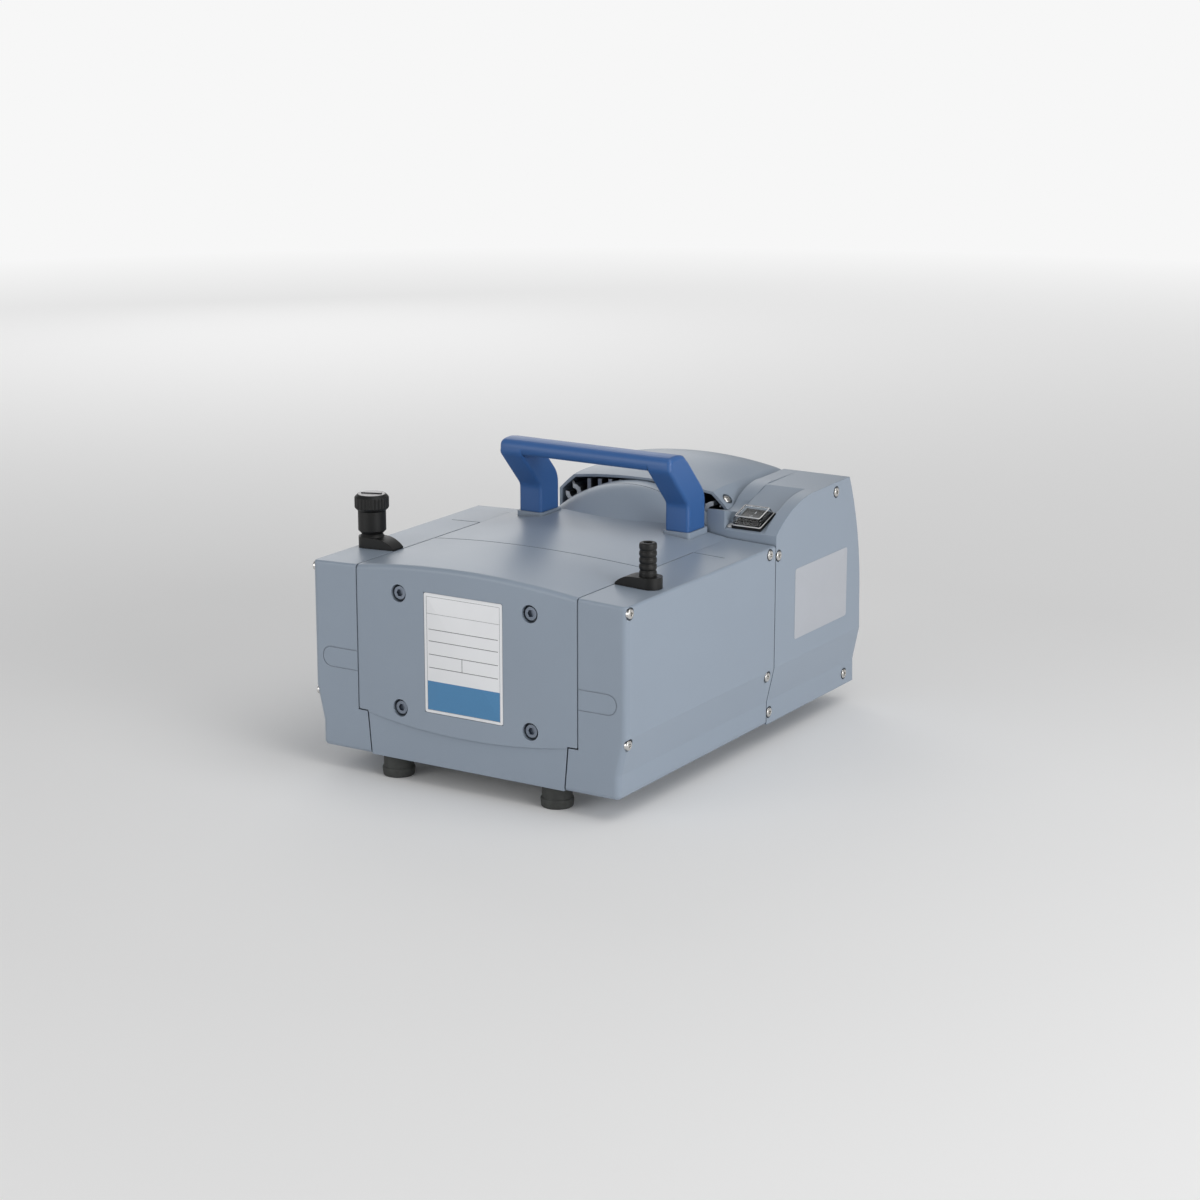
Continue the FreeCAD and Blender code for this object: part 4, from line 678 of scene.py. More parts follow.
@dataclass(frozen=True)
class WoundWire(Finish):
    """Varnished copper wire laid in turns around the crank axis."""

    wire: float = 0.0009
    height: float = 0.077

    def surface(self, g: Graph) -> Socket:
        """Lays the turns: a sine of the distance from the axis plus y, swayed by noise.

        Args:
            g: the material's graph.

        Returns:
            The surface shader.
        """
        part = g.add("SeparateXYZ", Vector=g.place)
        z = g.math("SUBTRACT", part.outputs["Z"], self.height)
        radius = g.math("SQRT", g.math("ADD", g.math("POWER", part.outputs["X"], 2.0),
                                       g.math("POWER", z, 2.0)))
        sway = g.math("MULTIPLY", g.noise(0.02), 4 * self.wire)
        along = g.math("ADD", g.math("ADD", radius, part.outputs["Y"]), sway)
        turns = g.math("SINE", g.math("MULTIPLY", along, 2 * math.pi / self.wire))
        tint = g.noise(0.01, 3.0)
        colour = g.blend(g.spread(turns, 1.0, 0.0, -1.0, 0.0), g.vary(tint, self.colour, 0.8, 1.2),
                         shade(self.colour, 0.3))
        return g.surface(colour, g.spread(tint, 0.25, 0.4), g.bump(turns, 0.0002), Metallic=0.9)


@dataclass(frozen=True)
class PrintedPlate(Finish):
    """White film with a fine frame, blank ruled rows and a coloured block at its foot.

    Frame and block reach from a low to a high Z. The divider stands at an X between two of the rows.
    """

    ink: Colour
    fill: Colour
    rows: tuple[float, ...]
    row_half: float
    frame: Pair
    frame_half: float
    top_row: float
    divider: Triple
    block: Pair
    line_half: float = 0.2
    fine_half: float = 0.14
    block_gap: float = 0.3

    def surface(self, g: Graph) -> Socket:
        """Lays the print: each line is where a coordinate stays within half a line of its place.

        Args:
            g: the material's graph.

        Returns:
            The surface shader.
        """
        part = g.add("SeparateXYZ", Vector=g.place)
        x, z = part.outputs["X"], part.outputs["Z"]

        def box(middle: float, half_x: float, low: float, high: float) -> Socket:
            """1 within half_x of the middle and from low to high, in millimetres.

            Args:
                middle: X of the middle.
                half_x: half the width.
                low: lower Z.
                high: upper Z.

            Returns:
                1 inside and 0 outside.
            """
            near_x = g.math("COMPARE", x, middle * MM, half_x * MM)
            near_z = g.math("COMPARE", z, (low + high) / 2 * MM, (high - low) / 2 * MM)
            return g.math("MULTIPLY", near_x, near_z)

        def row(height: float, half_x: float, half_z: float) -> Socket:
            """1 within half_z of a height, in millimetres."""
            return box(0.0, half_x, height - half_z, height + half_z)

        at, low, high = self.divider
        ruled = box(at, self.line_half, low, high)
        for height in self.rows:
            ruled = g.math("MAXIMUM", ruled, row(height, self.row_half, self.line_half))
        (low, high), half, line = self.frame, self.frame_half, 2 * self.fine_half
        fine = g.math("SUBTRACT", box(0.0, half, low, high), box(0.0, half - line, low + line, high - line))
        fine = g.math("MAXIMUM", fine, row(self.top_row, half, self.fine_half))
        filled = box(0.0, half - self.block_gap, *self.block)
        fibre, age = g.noise(0.0007, 3.0), g.noise(0.03, 3.0)
        paper = g.vary(age, self.colour, 0.96, 1.03)
        colour = g.blend(g.math("MULTIPLY", fine, 0.75), paper, shade(self.ink, 2.2))
        colour = g.blend(filled, g.blend(ruled, colour, self.ink), g.vary(fibre, self.fill, 0.93, 1.07))
        raised = g.math("ADD", g.math("MULTIPLY", fibre, 0.3), g.math("MAXIMUM", ruled, filled))
        return g.surface(colour, g.spread(age, 0.28, 0.36), g.bump(raised, 0.00001))


@dataclass(frozen=True)
class PlainFilm(Finish):
    """Plain printed film with a faint weave of its own and a satin face."""

    roughness: float = 0.3

    def surface(self, g: Graph) -> Socket:
        """Lays slow changes of tint over the colour, and the weave over gloss and normal.

        Args:
            g: the material's graph.

        Returns:
            The surface shader.
        """
        fibre = g.noise(0.0006, 3.0)
        colour = g.vary(g.noise(0.03, 3.0), self.colour, 0.96, 1.03)
        gloss = g.spread(fibre, self.roughness - 0.04, self.roughness + 0.06)
        return g.surface(colour, gloss, g.bump(fibre, 0.000008, g.soft_edges(0.0002)))


HOUSING_GREY = (0.264, 0.316, 0.385)
HANDLE_BLUE = (0.034, 0.116, 0.325)
BLACK = (0.009, 0.009, 0.0088)

# The sixth number of each plastic is how much lighter its painted edge highlight is.
HOUSING = MouldedPlastic("housing_blue_grey", HOUSING_GREY, 0.36, 0.0006, 0.000012, 0.03, 0.0007, 1.2)
HANDLE = MouldedPlastic("handle_blue", HANDLE_BLUE, 0.40, 0.0007, 0.000015, 0.05, 0.0006, 1.25)
BLACK_PLASTIC = MouldedPlastic("black_plastic", BLACK, 0.46, 0.0005, 0.00001, 0.10, 0.0004, 2.0,
                               specular=0.32)
HEAD_PLASTIC = MouldedPlastic("filled_fluoropolymer", (0.035, 0.035, 0.04), 0.5, 0.0007, 0.00002, 0.15,
                              0.0006, 1.8)
WHITE_PLASTIC = MouldedPlastic("white_fluoropolymer", (0.80, 0.80, 0.77), 0.45, 0.0006, 0.00001, 0.03,
                               0.0005, 1.05)
CAN_PLASTIC = MouldedPlastic("pale_can", (0.62, 0.62, 0.58), 0.4, 0.0006, 0.00001, 0.04, 0.0005, 1.1)
CAP_INLAY = MouldedPlastic("cap_inlay_grey", (0.36, 0.35, 0.355), 0.34, 0.0005, 0.00001, 0.05, 0.0003, 1.2)
MARK_WHITE = MouldedPlastic("switch_mark_white", (0.80, 0.82, 0.84), 0.4, 0.0004, 0.000004, 0.02, 0.0001, 1.0)
# Milky plastic of the boot's corner tab; the same finish makes the painted highlight rings on the boot's
# edges.
MILKY_TAB_AND_RIM_HIGHLIGHT = MouldedPlastic("milky_tab_and_rim_highlight", (0.58, 0.58, 0.58), 0.3, 0.0005, 0.000006, 0.04, 0.0003, 1.3)
STAINLESS = MarkedMetalWithEdgeHighlight("stainless_screws", (0.62, 0.61, 0.59), 0.22)
BURNISHED = MarkedMetalWithEdgeHighlight("burnished_panel_screws", (0.20, 0.23, 0.28), 0.34)
SHEET_STEEL = MarkedMetalWithEdgeHighlight("zinc_sheet", (0.50, 0.51, 0.52), 0.36, (1.0, 0.15, 1.0), 0.0008)
CAST_ALUMINIUM = MarkedMetalWithEdgeHighlight("cast_aluminium", (0.58, 0.60, 0.62), 0.42, mark=0.0007, mark_depth=0.00004)
# Darkened partly towards the grey paint of the motor housing's fins and partly as painted shade where they
# sit under the hood.
SHADED_PROFILE_ALUMINIUM = MarkedMetalWithEdgeHighlight("drawn_aluminium_shaded", (0.36, 0.38, 0.41), 0.40, (1.0, 0.08, 1.0), 0.0006)
ROD_ALUMINIUM = MarkedMetalWithEdgeHighlight("machined_aluminium", (0.66, 0.67, 0.68), 0.28, (1.0, 1.0, 0.2), 0.0005)
GROUND_STEEL = MarkedMetalWithEdgeHighlight("ground_steel", (0.46, 0.46, 0.47), 0.2, (1.0, 8.0, 1.0), 0.0005)
RUBBER = MouldedRubber("foot_rubber", (0.036, 0.038, 0.036))
CLEAR = ClearPlastic("clear_boot_plastic", (0.90, 0.92, 0.93), (0.97, 0.98, 0.98))
LAMINATIONS = StackedSheets("laminated_steel", (0.36, 0.36, 0.38))
COPPER = WoundWire("varnished_copper", (0.62, 0.27, 0.11))
PLATE = PrintedPlate("ruled_plate", (0.80, 0.81, 0.83), (0.030, 0.032, 0.040), (0.066, 0.225, 0.430),
                     rows=(106.1, 98.4, 89.6, 80.9), row_half=26.4, frame=(52.6, 127.6), frame_half=27.9,
                     top_row=116.4, divider=(-1.0, 80.9, 89.6), block=(52.9, 72.0))
STICKER = PlainFilm("pale_sticker", (0.42, 0.44, 0.48))


def quarters(*stems: str) -> str:
    """Names of the four nodes of each stem, one for each pump head."""
    corners = ("front_right", "front_left", "rear_right", "rear_left")
    return " ".join(f"{stem}_{corner}" for stem in stems for corner in corners)


CAD_FINISHES = {
    HOUSING: "front_cover top_housing right_side_cover left_side_cover rear_hood electrical_box "
             "motor_end_shield_front",
    BLACK_PLASTIC: "inlet_elbow ballast_elbow ballast_valve_body switch_housing switch_rocker "
                   "mains_inlet cooling_fan",
    RUBBER: "vibration_mounts",
    BURNISHED: "front_cover_screws",
    STAINLESS: "side_cover_screws handle_screws electrical_box_screws head_screws main_bearings",
    SHEET_STEEL: "base_plate electrical_tray",
    CAST_ALUMINIUM: "crankcase motor_end_shield_rear",
    SHADED_PROFILE_ALUMINIUM: "motor_housing",
    GROUND_STEEL: "crankshaft counterweights",
    LAMINATIONS: "motor_stator rotor",
    COPPER: "motor_windings",
    CAN_PLASTIC: "capacitor",
    HEAD_PLASTIC: "head_covers_right head_covers_left " + quarters("pump_head"),
    WHITE_PLASTIC: "valve_discs transfer_tubes " + quarters("diaphragm", "diaphragm_clamp"),
    ROD_ALUMINIUM: quarters("connecting_rod"),
}


@cache
def material_of(finish: Finish) -> Material:
    """The material of a finish, made once."""
    g = Graph(bpy.data.materials.new(finish.name))
    return g.output(finish.surface(g))


def paint(piece: Object, finish: Finish) -> None:
    """Gives a piece that finish alone."""
    piece.data.materials.clear()
    piece.data.materials.append(material_of(finish))


def dress(piece: Object, finish: Finish, body: str, slot: str, *replaced: str) -> Object:
    """Gives a new piece its finish and body, and hides the CAD nodes that it stands for.

    Args:
        piece: the piece, in place.
        finish: its finish.
        body: the body that it rides on.
        slot: the record's material slot; not used.
        replaced: names of CAD nodes.

    Returns:
        The piece.
    """
    paint(piece, finish)
    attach(piece, body)
    if replaced:
        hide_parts(*replaced)
    log.info("%s: %d faces on %s", piece.name, len(piece.data.polygons), body)
    return piece


# Sub-assemblies


@dataclass
class CarryHandle:
    """Blue carry handle in one skin: two legs that lean forward from a knee, and a rounded grip across them.

    Outlines lie in Y and Z. One half is drawn in patches, and its mirror image is sewn to it.
    """

    inner_x: float = 49.15
    outer_x: float = 67.15
    grip_front: float = -19.0
    grip_rear: float = 1.0
    grip_low: float = 190.6
    grip_top: float = 201.5
    foot_front: float = 5.4
    foot_rear: float = 28.6
    foot_z: float = 146.87
    knee_z: float = 165.4
    rear_knee_z: float = 171.2
    grip_round: float = 5.0
    crown_lift: float = 0.33
    crown_drop: float = 1.2
    brow_bend: float = 4.6
    ridge_bend: float = 4.9
    belly_bend: float = 4.4
    bar_bend: float = 4.9
    crook_z: float = 195.5
    leg_shoulder: Pair = (1.1, 200.1)
    leg_crook: Pair = (2.9, 198.2)
    leg_bend: float = 2.4
    toe_z: float = 191.4
    toe_bend: float = 2.5
    knee_bend: float = 2.5
    rear_knee_bend: float = 7.0
    morph: float = 16.0
    morph_rows: int = 10
    grip_edge: float = 3.2
    leg_edge: float = 2.2
    inner_edge: float = 2.0
    arc_steps: int = 12
    belly_steps: int = 10
    arc_reach: float = 0.98
    edge_run: float = 5.0
    edge_rows: int = 7
    fillet: float = 1.2
    swell_half: float = 0.36
    swell_fade: float = 0.22
    root_rows: int = 10
    down: int = 46
    over: int = 49
    across: int = 25

    def grip_arcs(self, shoulder: Pair, crook: Pair, bend: float) -> tuple[Array, Array]:
        """Outline of the grip in two arcs that start low on its front face.

        Args:
            shoulder: rear top corner.
            crook: where both arcs end at the rear.
            bend: rounding of the rear top corner.

        Returns:
            The open arc over the front and the top, and the arc round the underside.
        """
        front, rear, low, top = self.grip_front, self.grip_rear, self.grip_low, self.grip_top
        start = (front, low + self.grip_round)
        ridge = ((front + rear) / 2, top + self.crown_lift)
        open_arc = rounded_corners([start, (front, top - self.crown_drop), ridge, shoulder, crook],
                                   [self.brow_bend, self.ridge_bend, bend], self.arc_steps, self.arc_reach)
        hidden = rounded_corners([start, (front, low), (rear, low), crook],
                                 [self.grip_round, self.belly_bend], self.belly_steps, 1.0)
        return evenly(open_arc, self.over), evenly(hidden, self.across)

    def leg_chains(self, top_front: Array, top_rear: Array) -> tuple[Array, Array]:
        """Front and rear edge of a leg, from the grip down to the foot.

        Args:
            top_front: where the front edge leaves the grip.
            top_rear: where the rear edge leaves the grip.

        Returns:
            Points of both edges, evenly spaced.
        """
        front = rounded_corners(
            [tuple(top_front), (self.grip_front, self.toe_z), (self.foot_front, self.knee_z),
             (self.foot_front, self.foot_z)], [self.toe_bend, self.knee_bend], self.arc_steps)
        rear = rounded_corners(
            [tuple(top_rear), (self.foot_rear, self.rear_knee_z), (self.foot_rear, self.foot_z)],
            [self.rear_knee_bend], self.arc_steps)
        return evenly(front, self.down), evenly(rear, self.down)

    def away_from_grip(self, chain: Array) -> Array:
        """0 where a leg's edge leaves the grip, and 1 beyond the run in which it takes its own rounding."""
        return smooth(np.linalg.norm(chain - chain[0], axis=1) / self.edge_run)

    def grip_rings(self, open_arc: Array, hidden: Array, swell: Array) -> Array:
        """Rings of the grip, from the hollow fillet at the leg to the bar's own outline in the middle.

        Args:
            open_arc: the leg's arc over the front and the top.
            hidden: the leg's arc round the underside.
            swell: how far each point of the hidden arc moves into the fillet at the leg's face.

        Returns:
            Closed rings, rows by columns by 3.
        """
        rings = []
        for inward, swollen in quarter(self.edge_rows):
            ring = np.concatenate([open_arc, (hidden + swell * swollen)[::-1][1:]])
            rings.append(at_x(ring, self.inner_x - self.fillet * inward))
        bar_rear = (self.grip_rear, self.grip_top - self.crown_drop)
        top_arc, under = self.grip_arcs(bar_rear, (self.grip_rear, self.crook_z), self.bar_bend)
        bar = at_x(np.concatenate([top_arc, under[::-1][1:]]), 0.0)
        root = rings[-1]
        for share in np.linspace(0, 1, self.morph_rows + 1)[1:]:
            ring = root + (bar - root) * smooth(share)
            ring[:, 0] = self.inner_x - self.fillet - self.morph * share
            rings.append(ring)
        return np.stack(rings + [bar])

    def patches(self) -> list[Array]:
        """Grids of one half in X, Y and Z.

        Both edges of a leg are quarter circles: the outline draws in by e (1 - sin t) while X falls by
        e (1 - cos t). The inner face blends from the arc under the grip to straight rungs down the leg.

        Returns:
            The leg's wall, its outer and inner face, and half of the grip.
        """
        open_arc, hidden = self.grip_arcs(self.leg_shoulder, self.leg_crook, self.leg_bend)
        front, rear = self.leg_chains(hidden[0], hidden[-1])
        path = np.concatenate([front[::-1], open_arc[1:-1], rear])
        normal = left_normals(path)
        share = np.linspace(0, 1, self.across)
        free = np.concatenate([self.away_from_grip(front)[::-1], 0 * open_arc[1:-1, 0],
                               self.away_from_grip(rear)])

        def loop(inset: Array, x: Sizes) -> Array:
            """Closed loop round the leg, drawn in by the inset and set at x.

            Args:
                inset: how far each point of the path is drawn in.
                x: place in X, one or one for each point.

            Returns:
                The loop, columns by 3.
            """
            drawn = path - normal * inset[:, None]
            places = np.broadcast_to(x, len(path))
            places = np.append(places, np.full(len(share) - 1, places[0]))
            outline = np.concatenate([drawn, between(drawn[-1], drawn[0], share)[1:]])
            return np.concatenate([places[:, None], outline], axis=1)

        turn = quarter(self.edge_rows)
        outer = self.leg_edge + (self.grip_edge - self.leg_edge) * (1 - free)
        inner = self.inner_edge * free
        rows = [loop(outer * sine, self.outer_x - outer * cosine) for cosine, sine in turn]
        rows += [loop(inner * cosine, self.inner_x + self.inner_edge * sine) for cosine, sine in turn]
        cap = path - normal * outer[:, None]
        half = len(path) // 2 + 1
        outer_face = at_x(between(cap[:half], cap[::-1][:half], share), self.outer_x)
        drawn = path - normal * inner[:, None]
        left, right = drawn[:len(front)][::-1], drawn[-len(rear):]
        grown = smooth((self.swell_half - np.abs(share - 0.5)) / self.swell_fade)[:, None]
        swell = -left_normals(hidden) * grown * self.fillet
        rungs = between(left, right, share)
        blend = np.linspace(1, 0, self.root_rows)[:, None, None]
        root = (hidden + swell) * blend + rungs[self.root_rows - 1] * (1 - blend)
        ends = between(left[:self.root_rows] - root[:, 0], right[:self.root_rows] - root[:, -1], share)
        rungs[:self.root_rows] = root + ends
        return [np.stack(rows), outer_face, at_x(rungs, self.inner_x),
                self.grip_rings(open_arc, hidden, swell)]

    def build(self) -> None:
        """Sews both halves into one closed form."""
        right = [patch * MM for patch in self.patches()]
        left = [patch * MIRROR for patch in right]
        dress(sewn("carry_handle", right + left), HANDLE, "housing", "handle_blue", "handle")


@dataclass
class HoseNozzle:
    """Ribbed hose tail with shallow valleys, a rounded mouth and an open bore."""

    name: str
    node: str
    centre: Triple
    axis: Axis
    collar: float = 0.0
    collar_radius: float = 9.5
    pipe_radius: float = 6.0
    radius: float = 5.6
    bore: float = 2.8
    length: float = 21.6
    lip: float = 1.5
    lip_slope: float = 0.35
    lip_bends: Pair = (1.4, 0.7)
    collar_edges: Pair = (0.6, 0.8)
    seat_lift: float = 0.02
    steps: int = 160
    valleys: int = 4
    first_valley: float = 3.95
    pitch: float = 4.25
    depth: float = 0.55
    valley_half: float = 0.8
    sink: float = 0.0

    def profile(self) -> Array:
        """Bore, collar, ribbed tail and rounded mouth.

        The tail's radius is R less depth times the sum of exp(-((h - v) / w)^2) over the valleys v.

        Returns:
            Radii and heights, n by 2.
        """
        h = np.linspace(0, self.length - self.lip, self.steps)
        middles = self.first_valley + self.pitch * np.arange(self.valleys)
        dip = np.exp(-(((h[:, None] - middles) / self.valley_half) ** 2)).sum(1)
        tail = np.stack([self.radius - self.depth * dip, self.collar + h], axis=1)
        top = self.collar + self.length
        mouth = rounded_corners([(self.radius, top - self.lip), (self.radius - self.lip_slope, top),
                                 (self.bore, top), (self.bore, -self.sink)], self.lip_bends, 8)
        start = [(self.bore, -self.sink)]
        if self.collar:
            pipe, rim_highlight, end, lift = self.pipe_radius, self.collar_radius, self.collar, self.seat_lift
            low, high = self.collar_edges
            start += [(pipe, -self.sink), (pipe, lift), (rim_highlight - low, lift), (rim_highlight, low), (rim_highlight, end - high),
                      (rim_highlight - high, end)]
        return np.concatenate([np.array(start), tail, mouth[1:-1]])

    def build(self) -> None:
        """Turns the profile about its axis."""
        piece = turned(self.name, self.profile(), self.centre, self.axis, ring=True)
        dress(piece, BLACK_PLASTIC, "housing", "black_plastic", self.node)


@dataclass
class BallastKnob:
    """Ribbed cap that turns on the ballast valve, with a pale inlay and a raised bar on its top."""

    x: float = -106.9
    y: float = -110.9
    z: float = 164.66
    radius: float = 11.4
    foot: float = 9.6
    foot_height: float = 1.8
    crown_low: float = 8.8
    crown_height: float = 10.8
    inlay_radius: float = 8.9
    crown_slope: float = 0.4
    lid_drop: float = 0.3
    hub: float = 0.3
    bends: tuple[float, ...] = (0.3, 0.4, 0.5, 0.3)
    ribs: int = 24
    rib_depth: float = 0.6
    rib_width: float = 0.6
    rib_start: float = 0.9
    rib_end: float = 9.6
    rib_fade: float = 1.2
    bore: float = 5.05
    bore_depth: float = 7.3
    pointer: Pair = (14.0, 2.5)
    pointer_top: float = 11.5
    pointer_angle: float = 20.0
    pointer_corner: float = 0.6
    pointer_edge: float = 0.2
    face_inset: float = 0.7
    face_shape: Triple = (0.05, 0.4, 0.02)
    inlay_rise: float = 0.05
    inlay_edge: float = 0.2
    rows: int = 70
    columns: int = 480

    def build_cap(self) -> None:
        """Ribbed wall: the radius is R - d (1 - |sin(n a / 2)|^w), and the grooves fade out at both rims."""
        angle = around(self.columns)[None, :]
        r, top, lid = self.inlay_radius, self.crown_height, self.crown_height - self.lid_drop
        wall = rounded_corners([(self.bore, 0), (self.foot, 0), (self.radius, self.foot_height),
                                (self.radius, self.crown_low), (r + self.crown_slope, top), (r, top)],
                               self.bends, 5)
        inside = [(r, lid), (self.hub, lid), (self.hub, self.bore_depth), (self.bore, self.bore_depth)]
        profile = np.concatenate([evenly(wall, self.rows), np.array(inside)])
        r, h = profile[:, :1], profile[:, 1:]
        fade = np.clip((h - self.rib_start) / self.rib_fade, 0, 1) \
            * np.clip((self.rib_end - h) / self.rib_fade, 0, 1)
        outside = np.clip((r - self.foot) / (self.radius - self.foot), 0, 1)
        groove = 1 - np.abs(np.sin(self.ribs * angle / 2)) ** self.rib_width
        loops = swept(r - self.rib_depth * groove * fade * outside, h, angle)
        piece = tube("ballast_knob_cap", (loops + np.array([self.x, self.y, self.z])) * MM, ring=True)
        dress(piece, BLACK_PLASTIC, "ballast_knob", "black_plastic", "ballast_cap")

    def on_top(self, loops: Array, height: float) -> Array:
        """Turns loops by the pointer's angle about the knob's axis and lifts them to a height.

        Args:
            loops: loops in millimetres, about the axis.
            height: height over the knob's foot.

        Returns:
            The loops in their place, in metres.
        """
        a = math.radians(self.pointer_angle)
        spin = np.array([[math.cos(a), math.sin(a), 0], [-math.sin(a), math.cos(a), 0], [0, 0, 1]])
        return (loops @ spin + np.array([self.x, self.y, self.z + height])) * MM

    def build_top(self) -> None:
        """Pale disc set in the cap, the raised bar across it, and a thin pale face laid on the bar's top
        while its sides stay black.
        """
        r, drop = self.inlay_radius, self.lid_drop
        rise = self.inlay_rise
        disc = rounded_corners([(self.hub, -drop), (r, -drop), (r, rise), (self.hub, rise)],
                               [0, self.inlay_edge], 5)
        centre = (self.x, self.y, self.z + self.crown_height)
        dress(turned("ballast_knob_inlay", disc, centre), CAP_INLAY, "ballast_knob", "black_plastic")
        length, width = self.pointer
        bar = plate_loops(length, width, self.pointer_top - self.crown_height, self.pointer_corner,
                          self.pointer_edge)
        piece = tube("ballast_knob_pointer", self.on_top(bar, self.crown_height))
        dress(piece, BLACK_PLASTIC, "ballast_knob", "black_plastic")
        face = plate_loops(length - self.face_inset, width - self.face_inset, *self.face_shape)
        piece = tube("ballast_knob_pointer_face", self.on_top(face, self.pointer_top))
        dress(piece, CAP_INLAY, "ballast_knob", "black_plastic")

    def build(self) -> None:
        """Builds the cap and what lies on it."""
        self.build_cap()
        self.build_top()


@dataclass
class RubberFeet:
    """Four turned rubber feet, each with a thicker ring at the floor. Bevels are a run in and a rise."""

    spots: tuple[Pair, ...] = ((-61.5, -148.5), (61.5, -148.5), (-56.0, 140.6), (56.0, 140.6))
    stem: float = 9.8
    ring: float = 10.8
    sole: float = 10.4
    sole_bevel: Pair = (0.3, 0.8)
    ring_low: float = 5.0
    ring_bevel: Pair = (0.4, 0.3)
    ring_height: float = 6.0
    height: float = 14.6
    hub: float = 0.3
    bends: tuple[float, ...] = (0.4, 0.4, 0.8, 0.4, 0.3, 0.3)

    def build(self) -> None:
        """Turns each foot."""
        (inward, upward), (back, rise) = self.sole_bevel, self.ring_bevel
        outline = rounded_corners(
            [(self.hub, 0.0), (self.sole - inward, 0.0), (self.sole, upward), (self.ring, self.ring_low),
             (self.ring - back, self.ring_height), (self.stem, self.ring_height + rise),
             (self.stem, self.height), (self.hub, self.height)], self.bends, 5)
        for number, (x, y) in enumerate(self.spots, 1):
            piece = turned(f"rubber_foot_{number}", outline, (x, y, 0.0))
            dress(piece, RUBBER, "housing", "rubber", "rubber_feet")


